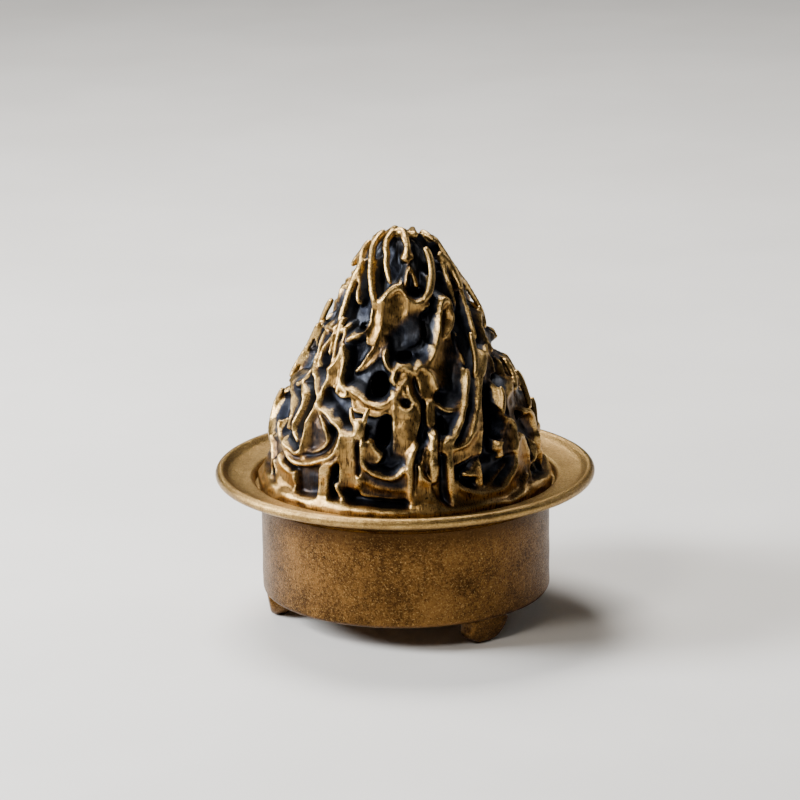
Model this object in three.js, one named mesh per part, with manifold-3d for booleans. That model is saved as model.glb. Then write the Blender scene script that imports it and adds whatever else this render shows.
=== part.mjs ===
// A small brass incense burner: a round cup on three feet, a wide brim with a seat, and a pierced
// mountain-shaped lid. A fire mat lies on the cup's floor with a cone of incense standing on it.
// Millimetres, +Z up. The origin is on the table, under the middle of the cup.
// Angles round the burner run from the front (-Y) towards +X, in degrees.

import * as THREE from 'three';
import { mergeVertices } from 'three/addons/utils/BufferGeometryUtils.js';
import Module from 'manifold-3d';

// Cup
const CUP_RADIUS = 22.8;
const CUP_BORE_RADIUS = 21;
const CUP_BOTTOM_Z = 3.9;
const CUP_TOP_Z = 19.6;
const CUP_FLOOR = 2;
const CUP_EDGE_ROUND = 0.8;

// Brim
const BRIM_RADIUS = 30;
const LIP_RADIUS = 0.85;
const LIP_CENTRE_Z = 22.9;
const SEAT_RADIUS = 23.7;
const SEAT_Z = 21;

// Feet
const FOOT_HALF_WIDTH = 3.8;
const FOOT_DEPTH = 5;
const FOOT_INSET = 0.35;
const FOOT_SOLE_HALF_WIDTH = 1.7;
const FOOT_RAKE = 0.8;
const FOOT_LOBE_RADIUS = 0.8;
const FOOT_SOLE_ROUND = 1.6;
const FOOT_ANGLES = { foot_front_right: 36, foot_left: -84, foot_rear: 156 };

// Lid
const LID_FOOT_RADIUS = 23.3;
const LID_TOP_Z = 61.9;
const LID_MOUTH_RADIUS = 20.6;
const SHELL_THICKNESS = 1.7;
const SHELL_TOP_Z = 60.9;
const HOLLOW_TOP_Z = 58.8;
const CURTAIN_ROOT = 0.6;
const CURTAIN_LEAN = 0.8;
const FINGER_FLANK = 3.2;

// Fire mat and incense
const MAT_RADIUS = 19.5;
const MAT_THICKNESS = 3;
const CONE_RADIUS = 5.5;
const CONE_HEIGHT = 18;
const CONE_TIP_RADIUS = 0.8;

const ROUND_STEPS = 48;
const SHELL_STEPS = 36;
const CONE_STEPS = 24;

// The dome that the tips of the peaks lie on, and the dome of the shell behind them: [z, radius].
const OUTER_DOME = [
  [21, 23.3], [22.9, 23.3], [24.9, 22.1], [29.9, 21.7], [33.9, 20.6], [37.9, 18.6], [42.9, 15.6],
  [46.4, 13.9], [49.9, 12], [53.5, 10], [56.9, 7.8], [59.9, 5.6], [61.9, 2.6],
];
const SHELL_DOME = [
  [22.6, 23.3], [23.6, 21.8], [26, 20.4], [30, 19.6], [34, 18.3], [38, 16.4], [42, 14], [46, 11.9],
  [50, 10], [54, 7.6], [57, 5.6], [59, 4], [60.4, 2.2],
];

// Rows of peaks, lowest first. A row is a curtain of metal round the dome: its top edge hangs in
// catenary valleys between blunt fingers. Each finger is [angle, tip z, half its width in degrees].
const ROWS = [
  {
    foot: 21.4,
    valley: 24.2,
    fingers: [
      [-84, 27.5, 2], [-59, 28.2, 5], [-36, 28.6, 2.4], [3.5, 32.6, 2], [13.5, 34.4, 2.2],
      [19, 33, 2.4], [31, 28.8, 2.2], [56, 31, 2.4], [76, 28, 2.4], [95, 31.5, 2.2], [112, 27.6, 3],
      [131, 33, 2.2], [147, 28.8, 3], [166, 32, 2.2], [184, 28.2, 4], [203, 33.4, 2.2],
      [221, 28.4, 3], [239, 31.4, 2.2], [258, 28.4, 3],
    ],
  },
  {
    foot: 26.6,
    valley: 30.6,
    fingers: [
      [-74, 36, 2], [-47, 37.6, 4], [-23, 36.6, 3.6], [0, 40, 4.4], [27, 36, 2], [54, 35.4, 3],
      [71, 38, 2.2], [88, 35.2, 3], [107, 39, 2.4], [127, 36.4, 3.4], [146, 40, 2.4],
      [168, 36.8, 4], [188, 39.6, 2.6], [209, 36.4, 3.4], [229, 39.8, 2.4], [251, 36.6, 3],
      [268, 38, 2.4],
    ],
  },
  {
    foot: 33.2,
    valley: 37.6,
    fingers: [
      [-62, 43, 2.6], [-43, 45.4, 3], [-4, 43.6, 3], [12, 42.6, 3.4], [38, 43.2, 2.6],
      [59, 43.2, 3], [80, 41.6, 3], [102, 45.4, 2.6], [126, 42.4, 3], [150, 46, 2.8],
      [176, 43, 3.4], [201, 46.4, 2.8], [226, 43.2, 3], [250, 45.6, 2.8], [275, 42.6, 3],
    ],
  },
  {
    foot: 39.6,
    valley: 44.6,
    fingers: [
      [-68, 50, 3.4], [-40, 48.8, 3], [-14, 54.4, 7], [38, 52.4, 3.4], [62, 48.6, 3.4],
      [90, 51, 3.4], [121, 48.8, 4], [150, 52.6, 3.4], [181, 49.6, 4], [212, 53, 3.4],
      [246, 49.8, 4],
    ],
  },
  {
    foot: 46.4,
    valley: 51,
    fingers: [
      [-62, 56.4, 4], [-30, 56.6, 4], [22, 55.6, 4], [44, 58, 4], [78, 56, 4.6], [116, 57.6, 4.6],
      [156, 55.4, 5], [196, 58.2, 4.6], [238, 56, 5], [272, 57, 4.6],
    ],
  },
  {
    foot: 53.4,
    valley: 57.4,
    fingers: [
      [-52, 60.2, 9], [-6, LID_TOP_Z, 9], [48, 60.2, 9], [104, 61.2, 9], [170, 60.2, 10],
      [238, 61.4, 9],
    ],
  },
];

// Smoke holes through the lid: [angle, z, radius].
const SMOKE_HOLES = [
  [-16, 40.4, 1.9], [-10, 34.2, 1.5], [18.6, 35, 1.2], [13, 54, 1], [-70, 41, 1.5], [-34, 50, 1],
  [46, 38.4, 1.5], [18, 47.4, 1.4], [67, 33, 1.5], [92, 40.6, 1.6], [118, 34.4, 1.6],
  [136, 46.2, 1.4], [158, 38.2, 1.7], [186, 33.2, 1.5], [196, 45.2, 1.5], [219, 39.4, 1.7],
  [243, 33.6, 1.5], [262, 45, 1.4], [-74, 33.6, 1.6], [100, 52.4, 1.2], [214, 54, 1.1],
];

const wasm = await Module();
wasm.setup();

const radians = THREE.MathUtils.degToRad;

// The radius of a dome given as [z, radius] pairs, at height z.
function domeRadius(dome, z) {
  const last = dome.length - 1;
  if (z <= dome[0][0]) return dome[0][1];
  for (let i = 0; i < last; i += 1) {
    const [z0, r0] = dome[i];
    const [z1, r1] = dome[i + 1];
    if (z <= z1) return THREE.MathUtils.mapLinear(z, z0, z1, r0, r1);
  }
  return dome[last][1];
}

function around(angle, radius, z) {
  const a = radians(angle);
  return [radius * Math.sin(a), -radius * Math.cos(a), z];
}

// A closed body turned about the burner's axis from [radius, z] points, listed anticlockwise.
function turned(points, steps = ROUND_STEPS) {
  const profile = points.map(([r, z]) => new THREE.Vector2(r, z));
  const geometry = new THREE.LatheGeometry(profile, steps);
  return geometry.rotateX(Math.PI / 2);
}

// Points of an arc about [r, z], from one direction to another, in degrees anticlockwise.
function arc(r, z, radius, from, to, steps) {
  const points = [];
  for (let i = 0; i <= steps; i += 1) {
    const a = radians(from + ((to - from) * i) / steps);
    points.push([r + radius * Math.cos(a), z + radius * Math.sin(a)]);
  }
  return points;
}

function toManifold(geometry) {
  const bare = geometry.clone();
  bare.deleteAttribute('normal');
  bare.deleteAttribute('uv');
  const merged = mergeVertices(bare, 1e-5);
  const vertProperties = new Float32Array(merged.attributes.position.array);
  const triVerts = new Uint32Array(merged.index.array);
  return new wasm.Manifold(new wasm.Mesh({ numProp: 3, vertProperties, triVerts }));
}

function toGeometry(manifold) {
  const mesh = manifold.getMesh();
  const geometry = new THREE.BufferGeometry();
  geometry.setAttribute('position', new THREE.BufferAttribute(mesh.vertProperties, 3));
  geometry.setIndex(new THREE.BufferAttribute(mesh.triVerts, 1));
  geometry.computeVertexNormals();
  return geometry;
}

function cupGeometry() {
  const roundR = CUP_RADIUS - CUP_EDGE_ROUND;
  const roundZ = CUP_BOTTOM_Z + CUP_EDGE_ROUND;
  return turned([
    [0, CUP_BOTTOM_Z],
    ...arc(roundR, roundZ, CUP_EDGE_ROUND, -90, 0, 4),
    [CUP_RADIUS, CUP_TOP_Z],
    [CUP_BORE_RADIUS, CUP_TOP_Z],
    [CUP_BORE_RADIUS, CUP_BOTTOM_Z + CUP_FLOOR],
    [0, CUP_BOTTOM_Z + CUP_FLOOR],
  ]);
}

function brimGeometry() {
  const lipR = BRIM_RADIUS - LIP_RADIUS;
  const shoulder = arc(SEAT_RADIUS + 0.9, SEAT_Z + 0.52, 0.9, 90, 180, 3);
  const points = [
    [CUP_BORE_RADIUS, CUP_TOP_Z],
    [CUP_RADIUS, CUP_TOP_Z],
    [CUP_RADIUS + 1.6, CUP_TOP_Z + 1.2],
    [lipR - 0.6, LIP_CENTRE_Z - 0.95],
    ...arc(lipR, LIP_CENTRE_Z, LIP_RADIUS, -90, 120, 6),
    [lipR - 1.3, LIP_CENTRE_Z + 0.05],
    [lipR - 3, LIP_CENTRE_Z - 0.35],
    ...shoulder,
    [SEAT_RADIUS, SEAT_Z],
    [CUP_BORE_RADIUS, SEAT_Z],
  ];
  return turned([...points, points[0]]);
}

// A foot's front outline: a small lobe each side of a wide round sole, open along the cup's floor.
function footShape() {
  const side = [
    [FOOT_HALF_WIDTH, CUP_BOTTOM_Z],
    ...arc(FOOT_HALF_WIDTH - FOOT_LOBE_RADIUS, CUP_BOTTOM_Z - 1.2, FOOT_LOBE_RADIUS, 0, -75, 4),
    ...arc(FOOT_SOLE_HALF_WIDTH, FOOT_SOLE_ROUND, FOOT_SOLE_ROUND, 0, -90, 4),
  ];
  const right = side.map(([x, y]) => new THREE.Vector2(x, y));
  const left = right.map((p) => new THREE.Vector2(-p.x, p.y)).reverse();
  return new THREE.Shape([...right, ...left]);
}

// The foot stands upright with its front face towards -Y. The face rakes back towards the flat sole.
function footGeometry() {
  const geometry = new THREE.ExtrudeGeometry(footShape(), { depth: FOOT_DEPTH, bevelEnabled: false });
  geometry.rotateX(Math.PI / 2);
  const position = geometry.attributes.position;
  for (let i = 0; i < position.count; i += 1) {
    const onFront = position.getY(i) < -FOOT_DEPTH / 2;
    const drop = 1 - position.getZ(i) / CUP_BOTTOM_Z;
    if (onFront) position.setY(i, position.getY(i) + FOOT_RAKE * drop);
  }
  return geometry;
}

function matGeometry(z) {
  return turned([
    [0, z],
    [MAT_RADIUS, z],
    [MAT_RADIUS, z + MAT_THICKNESS],
    [0, z + MAT_THICKNESS],
  ]);
}

function coneGeometry(z) {
  const tip = CONE_TIP_RADIUS;
  return turned([
    [0, z],
    [CONE_RADIUS, z],
    [CONE_RADIUS, z + 1],
    ...arc(0, z + CONE_HEIGHT - tip, tip, 10, 90, 3),
  ], CONE_STEPS);
}

function shellGeometry() {
  const outside = SHELL_DOME.map(([z, r]) => [r, z]);
  const inside = SHELL_DOME.map(([z, r]) => [r - SHELL_THICKNESS, z - SHELL_THICKNESS / 4]);
  return turned([
    [LID_FOOT_RADIUS, SEAT_Z],
    ...outside,
    [0, SHELL_TOP_Z],
    [0, HOLLOW_TOP_Z],
    ...inside.filter(([r]) => r > 0.5 && r < LID_MOUTH_RADIUS).reverse(),
    [LID_MOUTH_RADIUS, SEAT_Z],
    [LID_FOOT_RADIUS, SEAT_Z],
  ], SHELL_STEPS);
}

// The height of a row's top edge at an angle: the tip over a finger, and a catenary between two.
function topEdge(row, angle) {
  let top = row.valley;
  for (const [centre, tip, half] of row.fingers) {
    const turn = Math.abs(THREE.MathUtils.euclideanModulo(angle - centre + 180, 360) - 180);
    const beyond = Math.max(0, turn - half) / FINGER_FLANK;
    top = Math.max(top, row.valley + (tip - row.valley) * Math.exp(-beyond * 1.3));
  }
  return top;
}

// The angles at which a row's curtain is cut into columns: the sides and flanks of each finger.
function columnAngles(row) {
  const angles = [];
  for (const [centre, , half] of row.fingers) {
    for (const side of [-1, 1]) {
      angles.push(centre + side * half, centre + side * (half + FINGER_FLANK));
    }
  }
  const ordered = [...new Set(angles.map((a) => THREE.MathUtils.euclideanModulo(a, 360)))];
  ordered.sort((a, b) => a - b);
  return ordered.filter((a, i) => i === 0 || a - ordered[i - 1] > 0.6);
}

// One row of peaks, as a closed ring whose section runs up the outside and down the inside.
function curtainGeometry(row) {
  const angles = columnAngles(row);
  const section = [[1, 0], [1, 1], [0, 1], [0, 0], [1, 0]];
  const blank = section.map(() => new THREE.Vector2(1, 0));
  const geometry = new THREE.LatheGeometry(blank, angles.length);
  const position = geometry.attributes.position;
  for (let i = 0; i <= angles.length; i += 1) {
    const angle = angles[i % angles.length];
    const top = topEdge(row, angle);
    section.forEach(([outside, up], j) => {
      const z = THREE.MathUtils.lerp(row.foot, top, up);
      const face = domeRadius(OUTER_DOME, z) - CURTAIN_LEAN * (1 - up);
      const root = domeRadius(SHELL_DOME, z) - CURTAIN_ROOT;
      position.setXYZ(i * section.length + j, ...around(angle, outside ? face : root, z));
    });
  }
  return geometry;
}

function smokeHoleGeometry([angle, z, radius]) {
  const geometry = new THREE.CylinderGeometry(radius, radius, 20, 10);
  geometry.translate(0, -domeRadius(SHELL_DOME, z) - 2, 0);
  geometry.rotateZ(radians(angle));
  return geometry.translate(0, 0, z);
}

// The casting's outer body alone, so that pockets closed off between the rows are solid metal.
function withoutPockets(manifold) {
  const bodies = manifold.decompose();
  bodies.sort((a, b) => b.volume() - a.volume());
  return bodies[0];
}

function lidGeometry() {
  let lid = toManifold(shellGeometry());
  for (const row of ROWS) {
    lid = lid.add(toManifold(curtainGeometry(row)));
  }
  for (const hole of SMOKE_HOLES) {
    lid = lid.subtract(toManifold(smokeHoleGeometry(hole)));
  }
  return toGeometry(withoutPockets(lid));
}

const cupBrass = new THREE.MeshStandardMaterial({ color: 0x8f6a34, roughness: 0.5, metalness: 1 });
const brimBrass = new THREE.MeshStandardMaterial({ color: 0xb8924f, roughness: 0.35, metalness: 1 });
const lidBrass = new THREE.MeshStandardMaterial({ color: 0x6d5024, roughness: 0.38, metalness: 1 });
const felt = new THREE.MeshStandardMaterial({ color: 0xd9d4c8, roughness: 0.95, metalness: 0 });
const incense = new THREE.MeshStandardMaterial({ color: 0x5a4130, roughness: 0.9, metalness: 0 });

const burner = new THREE.Group();

function addPiece(name, geometry, material) {
  const mesh = new THREE.Mesh(geometry, material);
  mesh.name = name;
  burner.add(mesh);
  return mesh;
}

const floorZ = CUP_BOTTOM_Z + CUP_FLOOR;

addPiece('cup_body', cupGeometry(), cupBrass);
addPiece('brim_dish', brimGeometry(), brimBrass);
for (const [name, angle] of Object.entries(FOOT_ANGLES)) {
  const foot = addPiece(name, footGeometry(), cupBrass);
  const [x, y] = around(angle, CUP_RADIUS - FOOT_INSET - FOOT_DEPTH, 0);
  foot.position.set(x, y, 0);
  foot.rotation.z = radians(angle);
}
addPiece('lid', lidGeometry(), lidBrass);
addPiece('fire_mat', matGeometry(floorZ), felt);
addPiece('incense_cone', coneGeometry(floorZ + MAT_THICKNESS), incense);

export default burner;
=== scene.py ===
"""The incense burner's looks: the cast mountain lid, the turned brass cup and brim, the feet,
and the fire mat and burning cone inside. Lengths in the sculpting code are millimetres.
Angles round the burner run from the front (-Y) towards +X, in degrees."""

import math

import bmesh
import bpy
import numpy as np
import openvdb
from mathutils import Matrix, Vector


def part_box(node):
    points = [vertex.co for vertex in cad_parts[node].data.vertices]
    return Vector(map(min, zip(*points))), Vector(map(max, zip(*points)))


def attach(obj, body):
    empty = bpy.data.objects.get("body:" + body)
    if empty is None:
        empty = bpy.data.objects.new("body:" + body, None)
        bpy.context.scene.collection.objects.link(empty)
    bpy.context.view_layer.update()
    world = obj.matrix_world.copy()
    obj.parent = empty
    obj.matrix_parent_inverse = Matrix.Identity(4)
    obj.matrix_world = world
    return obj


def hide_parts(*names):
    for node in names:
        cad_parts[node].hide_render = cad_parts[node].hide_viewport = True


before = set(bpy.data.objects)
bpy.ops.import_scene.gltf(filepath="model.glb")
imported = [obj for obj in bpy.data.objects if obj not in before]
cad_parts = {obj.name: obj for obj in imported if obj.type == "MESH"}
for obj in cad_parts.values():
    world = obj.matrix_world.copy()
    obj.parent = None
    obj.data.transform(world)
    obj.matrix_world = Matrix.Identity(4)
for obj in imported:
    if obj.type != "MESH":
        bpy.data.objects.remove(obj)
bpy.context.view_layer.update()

MM = 0.001
SEED = 11

# ---------------------------------------------------------------- driving dimensions, from the frame

LID_LOW, LID_HIGH = (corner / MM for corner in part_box("lid"))
CUP_LOW, CUP_HIGH = (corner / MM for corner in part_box("cup_body"))
BRIM_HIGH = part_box("brim_dish")[1] / MM
MAT_LOW, MAT_HIGH = (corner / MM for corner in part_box("fire_mat"))
CONE_LOW, CONE_HIGH = (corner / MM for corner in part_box("incense_cone"))

CUP_RADIUS = CUP_HIGH.x
CUP_BORE_RADIUS = 21
BRIM_RADIUS = BRIM_HIGH.x
SEAT_Z = LID_LOW.z
LID_TOP_Z = LID_HIGH.z
LID_FOOT_RADIUS = LID_HIGH.x

# ---------------------------------------------------------------- the lid's sculpting map

# The dome that the proudest metal lies on, as (z, radius).
OUTER_DOME = [
    (20, 23.25), (22.7, 23.25), (23.6, 22.6), (24.9, 22.1), (27.4, 21.95), (29.9, 21.7),
    (33.9, 20.6), (37.9, 18.6), (39.9, 17.3), (42.9, 15.4), (46.4, 13.8), (49.9, 12), (53.5, 10),
    (56.9, 7.8), (59.9, 5.7), (61.3, 3.6), (61.9, 1.4), (64, 0.4),
]
# The hollow inside the lid, as (z, radius).
HOLLOW_DOME = [
    (20, 20.6), (21.5, 20.6), (23.5, 19.9), (26, 18.7), (30, 17.9), (34, 16.6), (38, 14.7),
    (42, 12.3), (46, 10.2), (50, 8.3), (54, 5.9), (57, 3.6), (58.8, 0.6), (60, -1), (64, -4),
]
# How far under the dome the bare wall lies, and the deepest that a plate's face may sink.
CORE_DEPTH = 2.5
DEEPEST = 2.9
# How much of the dome's spread below its own top an upright face leaves out.
TERRACE_DROP = 0.9
# How thick a ridge comes out, as a share of the radius that it is given.
BEAD_SHARE = 0.8
# The map's steps, in degrees and mm, its ends, and the lid's middling radius, which its smoothing uses.
ANGLE_STEP = 0.25
HEIGHT_STEP = 0.15
MAP_LOW_Z = 20
MAP_HIGH_Z = 63.2
MIDDLING_RADIUS = 15
# The ends of a gap where nothing stands free.
NO_GAP = 99.0


def dome(profile, z):
    heights, radii = zip(*profile)
    return np.interp(z, heights, radii)


def smoothstep(x):
    x = np.clip(x, 0, 1)
    return x * x * (3 - 2 * x)


def smooth_path(points, pieces=4, closed=False):
    """A Catmull-Rom curve through the points, as a denser list of points."""
    p = np.array(points, float)
    if len(p) < 3:
        return p
    if closed:
        before, after = p[-1:], p[:2]
    else:
        before, after = 2 * p[:1] - p[1:2], 2 * p[-1:] - p[-2:-1]
    q = np.vstack([before, p, after])
    t = np.linspace(0, 1, pieces, endpoint=False)[:, None]
    out = []
    for a, b, c, d in zip(q, q[1:], q[2:], q[3:]):
        bend = (-a + 3 * b - 3 * c + d) * t**3 + (2 * a - 5 * b + 4 * c - d) * t**2
        out.append(0.5 * (2 * b + (c - a) * t + bend))
    return np.vstack(out if closed else out + [p[-1:]])


class Relief:
    """The lid's outer surface as maps over angle (columns) and height (rows): its radius, how bare its
    patina is, and the low and high ends of the gap behind whatever stands free."""

    def __init__(self):
        self.angles = np.arange(-180, 180, ANGLE_STEP)
        self.heights = np.arange(MAP_LOW_Z, MAP_HIGH_Z, HEIGHT_STEP)
        self.outer = np.repeat(dome(OUTER_DOME, self.heights)[:, None], len(self.angles), 1)
        self.radius = self.outer - CORE_DEPTH
        self.tint = np.zeros_like(self.radius)
        self.gap_low = np.full_like(self.radius, NO_GAP)
        self.gap_high = np.full_like(self.radius, -NO_GAP)

    def window(self, path, margin):
        """The part of the map near a path: rows, columns, and places as (mm across, z)."""
        middle = (path[:, 0].min() + path[:, 0].max()) / 2
        low, high = path[:, 1].min() - margin, path[:, 1].max() + margin
        rows = np.nonzero((self.heights > low) & (self.heights < high))[0]
        scale = math.radians(1) * max(dome(OUTER_DOME, path[:, 1].mean()), 2.5)
        reach = (path[:, 0].max() - path[:, 0].min()) / 2 + margin / scale
        reach = min(reach, 179.5)
        first = math.ceil((middle - reach + 180) / ANGLE_STEP)
        last = math.floor((middle + reach + 180) / ANGLE_STEP)
        turns = np.arange(first, last + 1)
        columns = turns % len(self.angles)
        across = (turns * ANGLE_STEP - 180 - middle) * scale
        place = np.meshgrid(across, self.heights[rows])
        local = np.column_stack([(path[:, 0] - middle) * scale, path[:, 1]])
        return np.ix_(rows, columns), place, local

    def plate(self, outline, proud=-0.35, sink=0.9, soft=0.28, lip=0.2, foot=None, free=None,
              wall=1.2, straight=False, upright=0.4, tone=1.0):
        """A raised plate inside a closed outline. Its rim is proud and its face dishes in from the rim.
        Its face drops straight down from its top edge, by the share upright, and so it sinks below the dome.
        It fades out below the height foot, and stands free of what is behind it above the height free.
        Its tint is how much of the patina is rubbed back to bronze: tone at the top edge, less below."""
        path = np.array(outline, float) if straight else smooth_path(outline, closed=True)
        where, place, local = self.window(path, 2.0)
        off = distance_to(place, local, closed=True)
        inside = is_inside(place, local)
        signed = np.where(inside, -off, off)
        old = self.radius[where]
        face = self.outer[where] + proud
        tops = np.where(inside, place[1], 0).max(axis=0)
        tops = np.where(tops > 0, tops, local[:, 1].max())
        tops = np.convolve(np.pad(tops, 4, "edge"), np.full(9, 1 / 9), "valid")
        fall = face - proud - dome(OUTER_DOME, tops)[None, :]
        face = np.maximum(face - upright * np.maximum(fall, 0), self.outer[where] - DEEPEST)
        face = face - sink * (1 - np.exp(-off / 1.6)) + lip * np.exp(-((off / 0.55) ** 2))
        cover = smoothstep(0.5 - signed / (2 * soft))
        if foot is not None:
            cover = cover * smoothstep((place[1] - foot) / 2.2)
        if free is not None:
            open_behind = inside & (place[1] > free) & (face - wall > old + 0.25) & (off < 4)
            self.gap_low[where] = np.where(open_behind, old, self.gap_low[where])
            self.gap_high[where] = np.where(open_behind, face - wall, self.gap_high[where])
        self.radius[where] = old + (face - old) * cover
        bare = tone * (1 - 0.45 * smoothstep((tops[None, :] - place[1] - 2) / 9))
        self.tint[where] += (bare - self.tint[where]) * cover

    def bead(self, points, radius=0.5, proud=-0.15, end=None, closed=False, top=None):
        """A rounded ridge along a path. Its radius runs evenly to end at the last point.
        With top, it stands on an upright face whose highest point is at the height top."""
        path = smooth_path(points, closed=closed)
        where, place, local = self.window(path, 2.0)
        off, along = distance_to(place, local, closed=closed, with_place=True)
        size = BEAD_SHARE * (radius + ((radius if end is None else end) - radius) * along)
        if not closed:
            size = size * (0.66 + 0.34 * smoothstep(np.minimum(along, 1 - along) * 7))
        size = size * (0.94 + 0.12 * np.sin(5.2 * place[0] + 3.1 * place[1]))
        crown = self.outer[where] + proud - size
        if top is not None:
            crown = crown - TERRACE_DROP * np.maximum(self.outer[where] - dome(OUTER_DOME, top), 0)
        ridge = crown + np.sqrt(np.maximum(size**2 - off**2, 0))
        skirt = crown - (off - size) * 1.6
        ridge = np.where(off < size, ridge, skirt)
        old = self.radius[where]
        raised = np.maximum(old, ridge)
        self.radius[where] = old + (raised - old) * smoothstep((size + 0.95 - off) / 0.35)
        self.tint[where] = np.maximum(self.tint[where], smoothstep((size + 0.3 - off) / 0.4))

    def swell(self, points, width, height):
        """A soft rise, or a hollow where height is negative, along a path."""
        path = smooth_path(points)
        where, place, local = self.window(path, 3 * width)
        off = distance_to(place, local)
        self.radius[where] += height * np.exp(-((off / width) ** 2))

    def pit(self, outline, depth=2.2, soft=0.45, straight=False):
        """A hollow with a soft edge inside a closed outline, cut to depth below the outer dome."""
        path = np.array(outline, float) if straight else smooth_path(outline, closed=True)
        where, place, local = self.window(path, 1.5)
        off = distance_to(place, local, closed=True)
        signed = np.where(is_inside(place, local), -off, off)
        old = self.radius[where]
        floor = np.minimum(old, self.outer[where] - depth)
        self.radius[where] = old + (floor - old) * smoothstep(0.5 - signed / (2 * soft))
        self.tint[where] *= smoothstep(0.5 + signed / (2 * soft))
        self.gap_low[where] = np.where(signed < 0, NO_GAP, self.gap_low[where])

    def shade(self, outline, drop, fade, soft):
        """Lowers and darkens the surface inside a closed outline, with a wide soft edge."""
        path = smooth_path(outline, closed=True)
        where, place, local = self.window(path, 2.0)
        off = distance_to(place, local, closed=True)
        signed = np.where(is_inside(place, local), -off, off)
        cover = smoothstep(0.5 - signed / (2 * soft))
        self.radius[where] -= drop * cover
        self.tint[where] *= 1 - fade * cover


def distance_to(place, path, closed=False, with_place=False):
    """The distance from each place to a path, and how far along it the nearest point is."""
    x, y = place
    best = np.full(x.shape, np.inf)
    along = np.zeros(x.shape)
    ends = np.vstack([path, path[:1]]) if closed else path
    steps = np.hypot(*np.diff(ends, axis=0).T)
    run = np.concatenate([[0], np.cumsum(steps)])
    for i, (a, b) in enumerate(zip(ends, ends[1:])):
        d = b - a
        length = max(float(d @ d), 1e-9)
        t = np.clip(((x - a[0]) * d[0] + (y - a[1]) * d[1]) / length, 0, 1)
        off = np.hypot(x - a[0] - t * d[0], y - a[1] - t * d[1])
        nearer = off < best
        best = np.where(nearer, off, best)
        if with_place:
            along = np.where(nearer, (run[i] + t * steps[i]) / max(run[-1], 1e-9), along)
    return (best, along) if with_place else best


def is_inside(place, path):
    """Whether each place is inside a closed outline, by counting the edges that it crosses."""
    x, y = place
    inside = np.zeros(x.shape, bool)
    for a, b in zip(path, np.roll(path, -1, axis=0)):
        if a[1] == b[1]:
            continue
        crosses = (a[1] > y) != (b[1] > y)
        inside ^= crosses & (x < (b[0] - a[0]) * (y - a[1]) / (b[1] - a[1]) + a[0])
    return inside


def soft_noise(rng, shape, spacing):
    """Smooth seeded noise with unit spread that joins up round the columns."""
    white = rng.standard_normal(shape)
    rows = np.fft.fftfreq(shape[0], HEIGHT_STEP)[:, None]
    columns = np.fft.rfftfreq(shape[1], ANGLE_STEP * math.radians(1) * MIDDLING_RADIUS)[None, :]
    keep = np.exp(-((rows * spacing) ** 2 + (columns * spacing) ** 2) * 2)
    noise = np.fft.irfft2(np.fft.rfft2(white) * keep, shape)
    return noise / noise.std()


def blurred(field, spread):
    """The map smoothed over about spread millimetres."""
    rows = np.fft.fftfreq(field.shape[0] * 2, HEIGHT_STEP)[:, None]
    columns = np.fft.rfftfreq(field.shape[1], ANGLE_STEP * math.radians(1) * MIDDLING_RADIUS)[None, :]
    keep = np.exp(-2 * (math.pi * spread) ** 2 * (rows**2 + columns**2))
    mirrored = np.vstack([field, field[::-1]])
    return np.fft.irfft2(np.fft.rfft2(mirrored) * keep, mirrored.shape)[: field.shape[0]]


# ---------------------------------------------------------------- the lid's front, feature by feature
# Each place is (angle, z). Higher work is laid down first, so that lower work stands in front of it.
# Each was picked by hand on the photo, and a scratch script that isn't kept turned it into an angle and
# a height on the dome.
# They were then rounded, and many were moved.


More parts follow.
